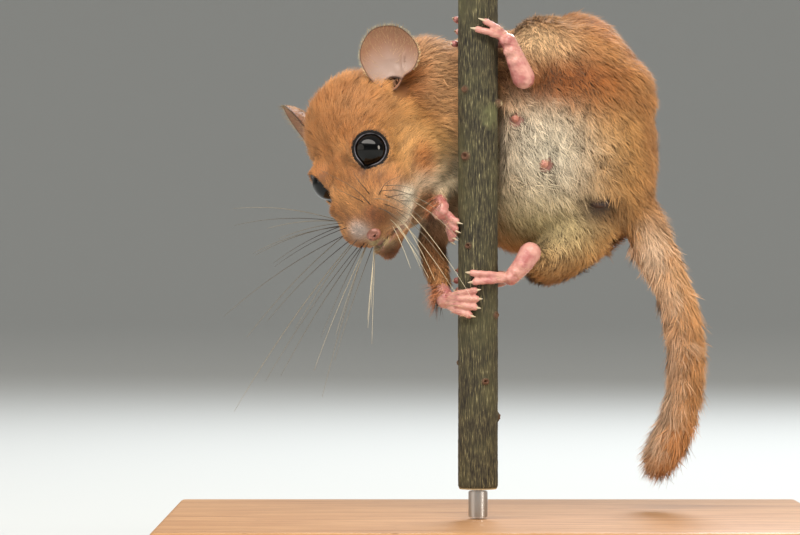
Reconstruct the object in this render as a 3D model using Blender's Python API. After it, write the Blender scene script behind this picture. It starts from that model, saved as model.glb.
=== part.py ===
"""Hazel dormouse clinging to a cut length of stem, on a plain display stand, at life size.

The animal is worked in millimetres round the axis of its stem (x to the right, y away
from the viewer, z up from the underside of the base) and written out in metres, with
the origin in the middle of the underside of the base.
"""

import math
import random

import bmesh
import bpy
from mathutils import Matrix, Vector

MM = 0.001
GAP = 0.3  # between neighbouring nodes

# Stand and perch
BASE_SIZE = (112.0, 84.0, 10.0)
BASE_EDGE = 1.2
STEM_RADIUS = 3.35
STEM_TOP = 104.5
STEM_FOOT = 15.0
STEM_FROM_CENTRE = (-3.0, -10.0)
ROD_RADIUS = 1.6

# Head: nose tip, the way the nose points and the way its left ear lies
NOSE = Vector((-17.2, -3.0, 58.0))
NOSE_WAY = Vector((-0.165, -0.692, -0.702)).normalized()
LEFT_WAY = Vector((0.609, -0.632, 0.480)).normalized()
CROWN_WAY = NOSE_WAY.cross(LEFT_WAY)
EYE_RADIUS = 3.0
EYE_AT = (-9.9, 5.6, 7.4)  # forward of the nose, to the left, up
EYE_WAY = (0.69, 0.63, 0.35)
LID_RADIUS = 0.55
LID_RING = 3.15
LID_OUT = 1.0
COAT_ALLOWANCE = 0.9  # from the parting form to the head's own surface
HEAD_FORMS = (
    # middle and radii, forward, left and up: skull, brow, bridge, muzzle, chin, jaw, throat, nose
    ((-19.5, 0, 5.3), (11.0, 11.0, 11.6)),
    ((-11.6, 0, 3.9), (7.5, 8.2, 7.2)),
    ((-7.4, 0, 1.4), (7.0, 8.6, 7.0)),
    ((-3.7, 0, 0.7), (4.6, 5.6, 4.7)),
    ((-0.2, -0.7, -3.3), (2.9, 2.6, 2.5)),
    ((-4.2, 0.1, -3.2), (4.6, 3.5, 2.8)),
    ((-13.0, 0, -4.6), (7.5, 6.0, 4.8)),
    ((0.5, -0.4, 0.3), (1.3, 1.7, 1.4)),
)
HEAD_SIDE_FORMS = (
    # the same for both sides: cheek, brow over the eye, whisker pad
    ((-16.0, 5.0, -0.8), (8.5, 6.4, 7.2)),
    ((-10.8, 4.3, 6.6), (4.8, 3.2, 4.2)),
    ((-3.5, 3.9, 0.5), (3.9, 3.9, 3.9)),
)
MOUTH_MIDDLE = (1.6, -0.6, -2.0)
MOUTH_CORNER = (-8.0, 4.4, -1.4)  # from the middle back to a corner
MOUTH_WIDTH = 0.42
NOSTRIL_AT = (1.3, 0.85, 0.2)
NOSTRIL_MIDDLE = -0.4
NOSTRIL_RADII = (0.8, 0.35, 0.5)

# Ears
EAR_AT = (-24.2, 12.25, 11.65)
EAR_FACING = (0.64, 0.68, 0.35)
EAR_UPWARD = (-0.58, 0.48, 0.66)
EAR_LENGTH = 11.4
EAR_WIDTH = 10.2
EAR_WALL = 0.7
EAR_DISH = 2.3
EAR_LOW_DISH = 1.1
EAR_RIM_IN = 0.94
EAR_RIM_LIFT = 0.35
EAR_NARROWING = 0.16
EAR_RINGS = 6
EAR_SIDES = 22
EAR_ROOT = (-0.40, -2.3, (2.9, 2.7, 2.9))  # along its length, off its face, radii
EAR_CANAL = (-0.25, -1.0, (2.1, 1.6, 2.3))

# Trunk, as middles and radii; the first one leans
TRUNK_LEAN = 7  # degrees
TRUNK_FORMS = (
    ((18.5, 13.0, 74.6), (12.3, 14.5, 21.0)),
    ((13.8, 13.3, 74.2), (12.5, 14.6, 20.4)),
    ((8.7, 13.5, 73.5), (15.0, 14.5, 19.5)),
    ((3.7, 14.0, 74.4), (12.5, 13.7, 18.1)),
    ((-1.3, 14.5, 75.3), (13.0, 12.5, 16.2)),
    ((-8.5, 13.5, 78.6), (9.5, 10.5, 12.8)),
    ((-4.0, 12.0, 66.0), (8.0, 8.5, 9.0)),
)
RUMP = ((20.0, 12.0, 68.0, 9.0), (26.0, 9.5, 63.0, 4.2), (28.4, 9.2, 58.0, 3.7))
NECK_CUT = (-4.6, 14.0, 75.0)
NECK_WAY = (-1.0, -0.09, 0.0)

# Tail
TAIL_ROUTE = (
    (26.2, 9.0, 62.5),
    (31.0, 9.5, 53.0),
    (33.7, 11.5, 46.5),
    (34.4, 14.5, 38.2),
    (33.9, 17.5, 29.8),
    (32.4, 20.5, 23.2),
    (29.6, 23.0, 17.6),
)
TAIL_RADIUS = 3.9  # to the tips of the coat
TAIL_CORE = 2.2
TAIL_ROOT = 3.9
TAIL_ROOT_LENGTH = 9.0
TAIL_TIP_BARE = 5.0
TAIL_BEYOND = 1.6
TAIL_START = 3.2
TAIL_LENGTHS = 4
LOCKS_FROM = 4.0
LOCKS_AROUND = 8
LOCK_ROW_STEP = 4.3
LOCK_LENGTH = 9.6
LOCK_WIDTH = 3.3
LOCK_THICK = 0.9
LOCK_SUNK = 0.9
SLEEVE_FLARE = 0.2
SLEEVE_SIDES = 12
SLEEVE_RINGS = 8
LOCK_STATIONS = (
    # along, width, thickness, how far out to the outline
    (0.0, 0.75, 0.9, 0.0),
    (0.35, 1.0, 1.0, 0.55),
    (0.72, 0.8, 0.8, 0.92),
    (1.0, 0.0, 0.0, 1.0),
)

# Legs, as stations of x, y, z and radius
HIND_LEG_LEFT = ((20.0, 11.0, 80.0, 11.0), (14.0, 8.5, 87.0, 7.2), (9.8, 6.0, 90.3, 4.4),
                 (8.8, 2.4, 87.5, 3.2), (8.0, -0.6, 84.8, 2.3))
HIND_LEG_RIGHT = ((19.5, 11.0, 65.0, 9.5), (16.5, 8.0, 57.5, 6.5), (12.5, 5.5, 52.8, 4.3),
                  (10.3, 2.4, 52.6, 3.1), (9.4, 0.0, 53.4, 2.2))
THIGH_INSET = 3.0
LEG_PARTING = 1.2  # how far the form that parts a leg stands off it
FORELEG_LEFT = ((-4.0, 14.0, 70.6, 4.0), (-4.8, 8.5, 67.8, 2.9),
                (-5.8, 3.8, 65.6, 2.1), (-6.3, 0.9, 63.6, 1.5))
FORELEG_RIGHT = ((-5.0, 13.0, 61.0, 4.0), (-7.4, 8.0, 56.3, 2.8),
                 (-6.8, 3.6, 51.5, 2.0), (-6.0, 1.3, 48.8, 1.5))

# Paws, as the sole's stations and each digit's last angle round the stem and height;
# an angle is in degrees from the viewer's side of the stem towards +X
HAND_LEFT = ((-6.3, 0.1, 63.0, 1.6), (-6.4, -1.2, 61.4, 1.95))
HAND_RIGHT = ((-5.9, 0.8, 48.2, 1.5), (-5.5, -0.6, 46.6, 1.85))
FOOT_LEFT = ((7.8, -2.5, 82.7, 1.95), (6.4, -2.9, 85.4, 1.9), (5.2, -3.2, 88.9, 1.8))
FOOT_RIGHT = ((8.8, -2.3, 54.6, 1.95), (7.2, -2.8, 52.2, 1.9), (5.4, -3.0, 50.2, 1.8))
FINGERS_LEFT = ((-78, -50, 59.7), (-82, -45, 58.2), (-88, -58, 56.9), (-96, -78, 56.4))
FINGERS_RIGHT = ((-75, -8, 48.1), (-75, -4, 46.7), (-80, -8, 45.3), (-90, -20, 44.0))
TOES_LEFT = ((62, -14, 91.4), (70, 8, 93.0), (92, 236, 93.4), (98, 228, 91.4), (104, 246, 89.3))
TOES_RIGHT = ((62, -14, 51.0), (60, -8, 49.5), (98, 225, 51.4), (100, 235, 49.7),
              (98, 228, 48.1))
DIGIT_RADIUS = 0.6
DIGIT_STANDS_OFF = 0.9  # at the heel end, closing to the bark at the tip
CLAW_LENGTH = 1.1
FINGER_CLAW_SHARE = 0.7
CLAW_STATIONS = ((0.0, 0.36), (0.6, 0.3), (1.27, 0.17))  # share of its length, radius

VOXEL = 0.45
FINE_VOXEL = 0.22
SHARP_FROM = 50  # degrees


def clear_scene():
    for item in list(bpy.data.objects):
        bpy.data.objects.remove(item, do_unlink=True)


def make_object(name, shape):
    mesh = bpy.data.meshes.new(name)
    shape.to_mesh(mesh)
    shape.free()
    item = bpy.data.objects.new(name, mesh)
    bpy.context.scene.collection.objects.link(item)
    return item


def settle(item):
    """Puts the evaluated mesh in place of the object's mesh and its modifiers."""
    bpy.context.view_layer.update()
    graph = bpy.context.evaluated_depsgraph_get()
    mesh = bpy.data.meshes.new_from_object(item.evaluated_get(graph))
    item.modifiers.clear()
    item.data = mesh
    return item


def ball(shape, centre, radii, axes=None, grow=0.0):
    """Adds an ellipsoid; axes are three unit vectors for its radii."""
    turn = Matrix.Identity(3) if axes is None else Matrix(axes).transposed()
    size = Matrix.Diagonal([radius + grow for radius in radii])
    place = Matrix.Translation(Vector(centre)) @ (turn @ size).to_4x4()
    bmesh.ops.create_icosphere(shape, subdivisions=3, radius=1.0, matrix=place)


def head_point(forward, left, up):
    return NOSE + forward * NOSE_WAY + left * LEFT_WAY + up * CROWN_WAY


def head_way(parts, side):
    """A direction by its parts forward, to the given side and up."""
    forward, out, up = parts
    return (forward * NOSE_WAY + out * side * LEFT_WAY + up * CROWN_WAY).normalized()


def head_ball(shape, centre, radii, grow=0.0):
    ball(shape, head_point(*centre), radii, (NOSE_WAY, LEFT_WAY, CROWN_WAY), grow)


def smooth_route(points, steps):
    """A Catmull-Rom curve through the points, with equal steps between each pair."""
    knots = [Vector(point) for point in points]
    knots = [2 * knots[0] - knots[1]] + knots + [2 * knots[-1] - knots[-2]]
    route = []
    for before, start, end, after in zip(knots, knots[1:], knots[2:], knots[3:]):
        for step in range(steps):
            t = step / steps
            route.append(0.5 * (2 * start + (end - before) * t
                                + (2 * before - 5 * start + 4 * end - after) * t * t
                                + (3 * start - before - 3 * end + after) * t ** 3))
    route.append(knots[-2])
    return route


def limb(shape, stations, grow=0.0, steps=8):
    """Adds round flesh along stations of (x, y, z, radius)."""
    places = smooth_route([station[:3] for station in stations], steps)
    radii = smooth_route([(station[3], 0, 0) for station in stations], steps)
    for place, radius in zip(places, radii):
        size = Matrix.Scale(radius.x + grow, 4)
        bmesh.ops.create_icosphere(shape, subdivisions=2, radius=1.0,
                                   matrix=Matrix.Translation(place) @ size)


def flesh(name, shape, voxel, rounds, faces):
    """Melts overlapping pieces into one smooth closed form of about so many faces."""
    item = make_object(name, shape)
    remesh = item.modifiers.new("melt", "REMESH")
    remesh.mode = "VOXEL"
    remesh.voxel_size = voxel
    smooth = item.modifiers.new("smooth", "SMOOTH")
    smooth.factor = 0.5
    smooth.iterations = rounds
    settle(item)
    thin_out(item, faces)
    return item


def thin_out(item, faces):
    triangles = sum(len(face.vertices) - 2 for face in item.data.polygons)
    decimate = item.modifiers.new("thin", "DECIMATE")
    decimate.ratio = min(1.0, faces / triangles)
    settle(item)


def is_closed(mesh):
    uses = {}
    for face in mesh.polygons:
        for key in face.edge_keys:
            uses[key] = uses.get(key, 0) + 1
    return bool(uses) and all(count == 2 for count in uses.values())


def boolean(item, other, operation):
    """Applies a Boolean and removes the other object."""
    before = item.data
    for solver in ("EXACT", "MANIFOLD"):
        item.data = before
        tool = item.modifiers.new("tool", "BOOLEAN")
        tool.operation = operation
        tool.solver = solver
        tool.object = other
        settle(item)
        if is_closed(item.data):
            break
    bpy.data.objects.remove(other, do_unlink=True)
    return item


def copy_of(item, name):
    other = bpy.data.objects.new(name, item.data.copy())
    bpy.context.scene.collection.objects.link(other)
    return other


def shells_of(shape):
    """The groups of faces that are joined by edges."""
    waiting = set(shape.faces)
    while waiting:
        shell = {waiting.pop()}
        edge_of = list(shell)
        while edge_of:
            face = edge_of.pop()
            for edge in face.edges:
                for other in edge.link_faces:
                    if other in waiting:
                        waiting.discard(other)
                        shell.add(other)
                        edge_of.append(other)
        yield shell


def volume_of(faces):
    total = 0.0
    for face in faces:
        first = face.verts[0].co
        for near, far in zip(face.verts[1:], face.verts[2:]):
            total += first.dot(near.co.cross(far.co)) / 6
    return total


def keep_largest(item):
    """Triangles only, no slivers, and nothing but the largest closed surface."""
    source = item.data
    for sliver in (0.01, 0.002, 0.0):
        item.data = source.copy()
        shape = bmesh.new()
        shape.from_mesh(source)
        bmesh.ops.triangulate(shape, faces=shape.faces)
        if sliver:
            bmesh.ops.remove_doubles(shape, verts=shape.verts, dist=sliver)
            bmesh.ops.dissolve_degenerate(shape, dist=sliver, edges=shape.edges)
            bmesh.ops.triangulate(shape, faces=shape.faces)
        shells = sorted(shells_of(shape), key=volume_of, reverse=True)
        scraps = [face for shell in shells[1:] for face in shell]
        bmesh.ops.delete(shape, geom=scraps, context="FACES")
        loose = [vert for vert in shape.verts if not vert.link_faces]
        bmesh.ops.delete(shape, geom=loose, context="VERTS")
        shape.to_mesh(item.data)
        shape.free()
        if is_closed(item.data):
            break
    return item


def slab(name, point, way, width, height):
    """A block that begins at a point and fills what lies the given way."""
    way = Vector(way).normalized()
    turn = way.to_track_quat("Z", "Y").to_matrix().to_4x4()
    size = Matrix.Diagonal((width, width, height, 1.0))
    shape = bmesh.new()
    place = Matrix.Translation(Vector(point) + way * height / 2) @ turn @ size
    bmesh.ops.create_cube(shape, size=1.0, matrix=place)
    return make_object(name, shape)


def post(name, radius, foot, top, sides, bevel=0.0):
    shape = bmesh.new()
    place = Matrix.Translation((0, 0, (foot + top) / 2))
    bmesh.ops.create_cone(shape, cap_ends=True, segments=sides, radius1=radius,
                          radius2=radius, depth=top - foot, matrix=place)
    if bevel:
        rims = [edge for edge in shape.edges
                if abs(edge.verts[0].co.z - edge.verts[1].co.z) < 1e-6]
        bmesh.ops.bevel(shape, geom=rims, offset=bevel, segments=1, affect="EDGES")
    return make_object(name, shape)


def trunk_shape(shape, grow=0.0):
    """Neck, chest, belly and rump, seen from below with the left side uppermost."""
    lean = math.radians(TRUNK_LEAN)
    leaning = (Vector((math.cos(lean), 0, math.sin(lean))), Vector((0, 1, 0)),
               Vector((-math.sin(lean), 0, math.cos(lean))))
    for index, (middle, radii) in enumerate(TRUNK_FORMS):
        ball(shape, middle, radii, None if index else leaning, grow)
    limb(shape, RUMP, grow)


def head_shape(shape, grow=0.0):
    """Skull, brow, cheeks, muzzle with its whisker pads, chin and throat."""
    for middle, radii in HEAD_FORMS:
        head_ball(shape, middle, radii, grow)
    for (forward, left, up), radii in HEAD_SIDE_FORMS:
        for side in (1, -1):
            head_ball(shape, (forward, left * side, up), radii, grow)


def body_flesh(name, grow, faces):
    shape = bmesh.new()
    trunk_shape(shape, grow)
    head_shape(shape, grow)
    limb(shape, HIND_LEG_LEFT, grow)
    limb(shape, HIND_LEG_RIGHT, grow)
    return flesh(name, shape, VOXEL, 6, faces)


def blob(name, fill, grow, faces):
    """A closed form from one of the shape functions, to part the body with."""
    shape = bmesh.new()
    fill(shape, grow)
    return flesh(name, shape, VOXEL, 3, faces)


def part_off(body, name, cutter_of):
    """Takes a node out of the body by a form, and leaves the gap round it."""
    node = copy_of(body, name)
    boolean(node, cutter_of(0.0), "INTERSECT")
    boolean(body, cutter_of(GAP), "DIFFERENCE")
    return keep_largest(node)


def eye_place(side):
    return head_point(EYE_AT[0], EYE_AT[1] * side, EYE_AT[2])


def eye_ball(name, side, grow):
    shape = bmesh.new()
    ball(shape, eye_place(side), [EYE_RADIUS + grow] * 3)
    return make_object(name, shape)


def ring(name, centre, way, large, small, around, across):
    """A torus about an axis."""
    shape = bmesh.new()
    turn = Vector(way).normalized().to_track_quat("Z", "Y").to_matrix()
    rows = []
    for i in range(around):
        a = math.tau * i / around
        row = []
        for j in range(across):
            b = math.tau * j / across
            reach = large + small * math.cos(b)
            spot = Vector((reach * math.cos(a), reach * math.sin(a), small * math.sin(b)))
            row.append(shape.verts.new(Vector(centre) + turn @ spot))
        rows.append(row)
    for i in range(around):
        near, far = rows[i], rows[(i + 1) % around]
        for j in range(across):
            k = (j + 1) % across
            shape.faces.new((near[j], far[j], far[k], near[k]))
    return make_object(name, shape)


def add_lids(head):
    for side in (1, -1):
        way = head_way(EYE_WAY, side)
        centre = eye_place(side) + LID_OUT * way
        boolean(head, ring("lid", centre, way, LID_RING, LID_RADIUS, 20, 6), "UNION")
        boolean(head, eye_ball("socket", side, GAP), "DIFFERENCE")


def cut_mouth(head):
    """The line of the mouth, from one corner round under the nose to the other."""
    shape = bmesh.new()
    steps = 26
    for step in range(steps + 1):
        t = 2 * step / steps - 1
        back, out, down = MOUTH_CORNER
        guide = head_point(MOUTH_MIDDLE[0] + back * t * t, MOUTH_MIDDLE[1] + out * t,
                           MOUTH_MIDDLE[2] + down * t * t)
        found, spot, normal, face = head.closest_point_on_mesh(guide)
        radius = MOUTH_WIDTH * (1 - 0.15 * abs(t))
        bmesh.ops.create_icosphere(shape, subdivisions=2, radius=radius,
                                   matrix=Matrix.Translation(spot))
    boolean(head, flesh("mouth", shape, FINE_VOXEL, 1, 260), "DIFFERENCE")


def cut_nostrils(head):
    for side in (1, -1):
        shape = bmesh.new()
        forward, out, up = NOSTRIL_AT
        head_ball(shape, (forward, NOSTRIL_MIDDLE + out * side, up), NOSTRIL_RADII)
        boolean(head, flesh("nostril", shape, FINE_VOXEL, 1, 60), "DIFFERENCE")


def make_head(body):
    head = part_off(body, "head", lambda gap: blob("head_form", head_shape,
                                                  COAT_ALLOWANCE + gap, 500))
    add_lids(head)
    cut_mouth(head)
    cut_nostrils(head)
    keep_largest(head)
    eye_ball("eye_left", 1, 0.0)
    eye_ball("eye_right", -1, 0.0)
    return head


def make_ear(name, side, keep_off):
    """A thin round cup with a turned-in rim, open low down where the ear canal begins."""
    facing = head_way(EAR_FACING, side)
    upward = head_way(EAR_UPWARD, side)
    upward = (upward - upward.dot(facing) * facing).normalized()
    across = upward.cross(facing) * side
    middle = head_point(EAR_AT[0], EAR_AT[1] * side, EAR_AT[2])
    shape = bmesh.new()
    layers = []
    for behind in (0.0, EAR_WALL):
        pole = middle - (EAR_DISH + behind) * facing
        layers.append([[shape.verts.new(pole)]])
        for i in range(1, EAR_RINGS + 1):
            r = i / EAR_RINGS
            row = []
            for j in range(EAR_SIDES):
                a = math.tau * j / EAR_SIDES
                low = max(0.0, -math.sin(a))
                dish = EAR_DISH * (1 - r ** 2.5) + EAR_LOW_DISH * low * r * (1 - r)
                turned_in = EAR_RIM_IN if i == EAR_RINGS else 1.0
                lift = EAR_RIM_LIFT if i == EAR_RINGS else 0.0
                narrow = 1 - EAR_NARROWING * low
                spot = (middle + turned_in * r * EAR_WIDTH / 2 * narrow * math.cos(a) * across
                        + turned_in * r * EAR_LENGTH / 2 * math.sin(a) * upward)
                row.append(shape.verts.new(spot - (dish + behind - lift) * facing))
            layers[-1].append(row)
    for rows in layers:
        for j in range(EAR_SIDES):
            k = (j + 1) % EAR_SIDES
            shape.faces.new((rows[0][0], rows[1][j], rows[1][k]))
            for near, far in zip(rows[1:], rows[2:]):
                shape.faces.new((near[j], far[j], far[k], near[k]))
    fronts, backs = layers[0][-1], layers[1][-1]
    for j in range(EAR_SIDES):
        k = (j + 1) % EAR_SIDES
        shape.faces.new((fronts[j], backs[j], backs[k], fronts[k]))
    bmesh.ops.recalc_face_normals(shape, faces=shape.faces)
    ear = make_object(name, shape)
    axes = (upward, across, facing)
    for part, operation in ((EAR_ROOT, "UNION"), (EAR_CANAL, "DIFFERENCE")):
        along, off, radii = part
        shape = bmesh.new()
        ball(shape, middle + along * EAR_LENGTH * upward + off * facing, radii, axes)
        boolean(ear, flesh("ear_part", shape, 0.35, 1, 150), operation)
    boolean(ear, copy_of(keep_off, "keep_off"), "DIFFERENCE")
    return keep_largest(ear)


def on_stem(angle, height, off):
    """A place off the stem's surface, by its angle round the stem."""
    a = math.radians(angle)
    reach = STEM_RADIUS + off
    return (reach * math.sin(a), -reach * math.cos(a), height)


def make_paw(name, sole, digits, claw, leg):
    """Sole and digits that curl round the stem, each ending in a claw."""
    shape = bmesh.new()
    limb(shape, sole, 0.0, 6)
    heel = sole[-1]
    off = GAP + DIGIT_RADIUS
    for first, last, height in digits:
        route = [heel[:3] + (DIGIT_RADIUS + 0.35,)]
        steps = max(2, round(abs(last - first) / 35))
        for step in range(steps + 1):
            t = (step + 0.5) / (steps + 0.5)
            angle = first + (last - first) * t
            level = heel[2] + (height - heel[2]) * t ** 0.6
            swell = 0.25 * math.sin(math.pi * t)
            place = on_stem(angle, level, off + DIGIT_STANDS_OFF * (1 - t) + 0.1)
            route.append(place + (DIGIT_RADIUS + swell * 0.3,))
        limb(shape, route, 0.0, 6)
        way = (Vector(route[-1][:3]) - Vector(route[-2][:3])).normalized()
        tip = Vector(route[-1][:3])
        limb(shape, [tuple(tip + way * claw * along) + (radius,)
                     for along, radius in CLAW_STATIONS], 0.0, 5)
    paw = flesh(name, shape, FINE_VOXEL, 1, 150 * len(digits) + 100)
    boolean(paw, post("stem_room", STEM_RADIUS + GAP, 0, 120, 32), "DIFFERENCE")
    if leg:
        boolean(paw, leg(GAP), "DIFFERENCE")
    return keep_largest(paw)


def leg_form(stations, grow, faces=200):
    shape = bmesh.new()
    limb(shape, stations, grow)
    return flesh("leg_form", shape, 0.35, 2, faces)


def slimmed(stations):
    """The thigh's stations with less of its root, for parting the leg from the rump."""
    first = stations[0]
    return (first[:3] + (first[3] - THIGH_INSET,),) + tuple(
        station[:3] + (station[3] + LEG_PARTING,) for station in stations[1:])


def tail_frames():
    """Close places down the tail: length so far, place, way and a side way."""
    route = smooth_route(TAIL_ROUTE, 10)
    frames = []
    length = 0.0
    for near, far in zip(route, route[1:]):
        way = (far - near).normalized()
        side = way.cross(Vector((0, 1, 0))).normalized()
        frames.append((length, near, way, side))
        length += (far - near).length
    frames.append((length, route[-1], frames[-1][2], frames[-1][3]))
    return frames


def tail_place(frames, wanted):
    """The place, way and side way at a length down the tail; past its end it runs on."""
    for near, far in zip(frames, frames[1:]):
        if wanted <= far[0]:
            t = max(0.0, wanted - near[0]) / (far[0] - near[0])
            return near[1].lerp(far[1], t), near[2], near[3]
    length, end, way, side = frames[-1]
    return end + (wanted - length) * way, way, side


def tail_core_radius(down):
    return TAIL_CORE + (TAIL_ROOT - TAIL_CORE) * max(0.0, 1 - down / TAIL_ROOT_LENGTH) ** 1.5


def add_lock(frames, down, angle, length, width, lift, sway):
    """A flat tapered lock from inside the core, lying along the tail to the coat's outline."""
    shape = bmesh.new()
    rows = []
    for along, wide, thick, out in LOCK_STATIONS:
        place, way, side = tail_place(frames, down + along * length)
        other = way.cross(side)
        core = tail_core_radius(down)
        a = angle + sway * along
        outward = math.cos(a) * side + math.sin(a) * other
        across = -math.sin(a) * side + math.cos(a) * other
        centre = place + (core - LOCK_SUNK + (lift + LOCK_SUNK - core) * out) * outward
        if wide == 0:
            rows.append([shape.verts.new(centre)])
            continue
        half, deep = wide * width / 2, thick * LOCK_THICK / 2
        rows.append([shape.verts.new(centre + x * half * across + y * deep * outward)
                     for x, y in ((-1, -0.4), (0, -1), (1, -0.4), (0, 1))])
    shape.faces.new(rows[0])
    for near, far in zip(rows, rows[1:]):
        for j in range(4):
            k = (j + 1) % 4
            if len(far) == 1:
                shape.faces.new((near[j], near[k], far[0]))
            else:
                shape.faces.new((near[j], near[k], far[k], far[j]))
    bmesh.ops.recalc_face_normals(shape, faces=shape.faces)
    return make_object("lock", shape)


def make_tail():
    """The core of the tail with its locks, fused into one body."""
    frames = tail_frames()
    end = frames[-1][0]
    shape = bmesh.new()
    steps = 26
    stations = []
    for step in range(steps + 1):
        down = (end - TAIL_TIP_BARE) * step / steps
        stations.append(tuple(tail_place(frames, down)[0]) + (tail_core_radius(down),))
    limb(shape, stations, 0.0, 2)
    tail = flesh("tail", shape, VOXEL, 3, 900)
    draw = random.Random(7)
    locks = bpy.data.collections.new("tail_locks")
    rows = round((end - LOCKS_FROM) / LOCK_ROW_STEP)
    for row in range(rows):
        down = LOCKS_FROM + (end - LOCKS_FROM) * row / rows
        last_rows = rows - row <= 2
        for j in range(LOCKS_AROUND):
            angle = math.tau * (j + 0.5 * (row % 2) + draw.uniform(-0.2, 0.2)) / LOCKS_AROUND
            length = LOCK_LENGTH * draw.uniform(0.85, 1.15) * (0.75 if last_rows else 1.0)
            length = min(length, end + TAIL_BEYOND - down)
            width = LOCK_WIDTH * draw.uniform(0.85, 1.1)
            lift = TAIL_RADIUS * draw.uniform(0.9, 1.03) * (0.8 if last_rows else 1.0)
            lock = add_lock(frames, down + draw.uniform(-0.5, 0.5), angle, length, width, lift,
                            draw.uniform(-0.25, 0.25))
            bpy.context.scene.collection.objects.unlink(lock)
            locks.objects.link(lock)
    before = tail.data
    for solver in ("EXACT", "MANIFOLD"):
        tail.data = before
        union = tail.modifiers.new("locks", "BOOLEAN")
        union.operation = "UNION"
        union.operand_type = "COLLECTION"
        union.solver = solver
        union.collection = locks
        settle(tail)
        if is_closed(tail.data):
            break
    for lock in list(locks.objects):
        bpy.data.objects.remove(lock, do_unlink=True)
    bpy.data.collections.remove(locks)
    return keep_largest(tail)


def tail_cuts():
    """How far down the tail each of its lengths begins."""
    end = tail_frames()[-1][0]
    return [TAIL_START + (end - TAIL_START) * cut / TAIL_LENGTHS for cut in range(TAIL_LENGTHS)]


def tail_sleeve(start, grow):
    """What lies beyond a cut that opens like a cone, so that the locks above it overlap."""
    frames = tail_frames()
    finish = frames[-1][0] + 4.0
    shape = bmesh.new()
    rows = []
    for ring_index in range(SLEEVE_RINGS + 1):
        down = start - grow + (finish - start) * ring_index / SLEEVE_RINGS
        place, way, side = tail_place(frames, down)
        other = way.cross(side)
        reach = TAIL_CORE + grow + min(SLEEVE_FLARE * (down - start), TAIL_RADIUS)
        rows.append([shape.verts.new(place + reach * (math.cos(a) * side + math.sin(a) * other))
                     for a in (math.tau * j / SLEEVE_SIDES for j in range(SLEEVE_SIDES))])
    shape.faces.new(rows[0])
    shape.faces.new(rows[-1])
    for near, far in zip(rows, rows[1:]):
        for j in range(SLEEVE_SIDES):
            k = (j + 1) % SLEEVE_SIDES
            shape.faces.new((near[j], near[k], far[k], far[j]))
    bmesh.ops.recalc_face_normals(shape, faces=shape.faces)
    return make_object("sleeve", shape)


def cut_plane(item, point, way):
    """Removes what lies behind a plane and closes the cut."""
    shape = bmesh.new()
    shape.from_mesh(item.data)
    geometry = shape.verts[:] + shape.edges[:] + shape.faces[:]
    bmesh.ops.bisect_plane(shape, geom=geometry, dist=1e-5, plane_co=point, plane_no=way,
                           clear_inner=True)
    rim = [edge for edge in shape.edges if edge.is_boundary]
    bmesh.ops.holes_fill(shape, edges=rim, sides=0)
    bmesh.ops.triangulate(shape, faces=shape.faces)
    shape.to_mesh(item.data)
    shape.free()
    return item


def part_tail(tail, torso):
    """Divides the tail into its lengths, the first of them meeting the rump."""
    cuts = tail_cuts()
    root, way, side = tail_place(tail_frames(), cuts[0])
    boolean(torso, slab("beyond", root, way, 13.0, 12.0), "DIFFERENCE")
    cut_plane(tail, root + way * GAP, way)
    for index, cut in enumerate(cuts):
        length = copy_of(tail, "tail_%d" % (index + 1))
        if index:
            boolean(length, tail_sleeve(cut, 0.0), "INTERSECT")
        if index + 1 < TAIL_LENGTHS:
            boolean(length, tail_sleeve(cuts[index + 1], GAP), "DIFFERENCE")
        keep_largest(length)
    bpy.data.objects.remove(tail, do_unlink=True)


def make_animal():
    body = body_flesh("torso", 0.0, 5600)
    keep_off = body_flesh("keep_off_body", GAP, 3000)
    boolean(body, post("stem_cut", STEM_RADIUS + GAP + 0.1, 0, 120, 40), "DIFFERENCE")
    make_ear("ear_left", 1, keep_off)
    make_ear("ear_right", -1, keep_off)
    bpy.data.objects.remove(keep_off, do_unlink=True)
    arms = {"left": FORELEG_LEFT, "right": FORELEG_RIGHT}
    for side, stations in arms.items():
        boolean(body, leg_form(stations, GAP), "DIFFERENCE")
        keep_largest(leg_form_named("foreleg_" + side, stations))
    make_head(body)
    part_tail(make_tail(), body)
    for side, stations in (("left", HIND_LEG_LEFT), ("right", HIND_LEG_RIGHT)):
        part_off(body, "hindleg_" + side,
                 lambda gap, stations=stations: leg_form(slimmed(stations), gap, 260))
    neck_way = Vector(NECK_WAY).normalized()
    part_off(body, "neck", lambda gap: slab("front", Vector(NECK_CUT) - neck_way * gap,
                                            neck_way, 80, 40))
    keep_largest(body)
    make_paw("forepaw_left", HAND_LEFT, FINGERS_LEFT, CLAW_LENGTH * FINGER_CLAW_SHARE,
             lambda gap: leg_form(FORELEG_LEFT, gap))
    make_paw("forepaw_right", HAND_RIGHT, FINGERS_RIGHT, CLAW_LENGTH * FINGER_CLAW_SHARE,
             lambda gap: leg_form(FORELEG_RIGHT, gap))
    make_paw("hindfoot_left", FOOT_LEFT, TOES_LEFT, CLAW_LENGTH,
             lambda gap: leg_form(HIND_LEG_LEFT, gap))
    make_paw("hindfoot_right", FOOT_RIGHT, TOES_RIGHT, CLAW_LENGTH,
             lambda gap: leg_form(HIND_LEG_RIGHT, gap))


def leg_form_named(name, stations):
    leg = leg_form(stations, 0.0, 240)
    leg.name = name
    return leg


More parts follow.
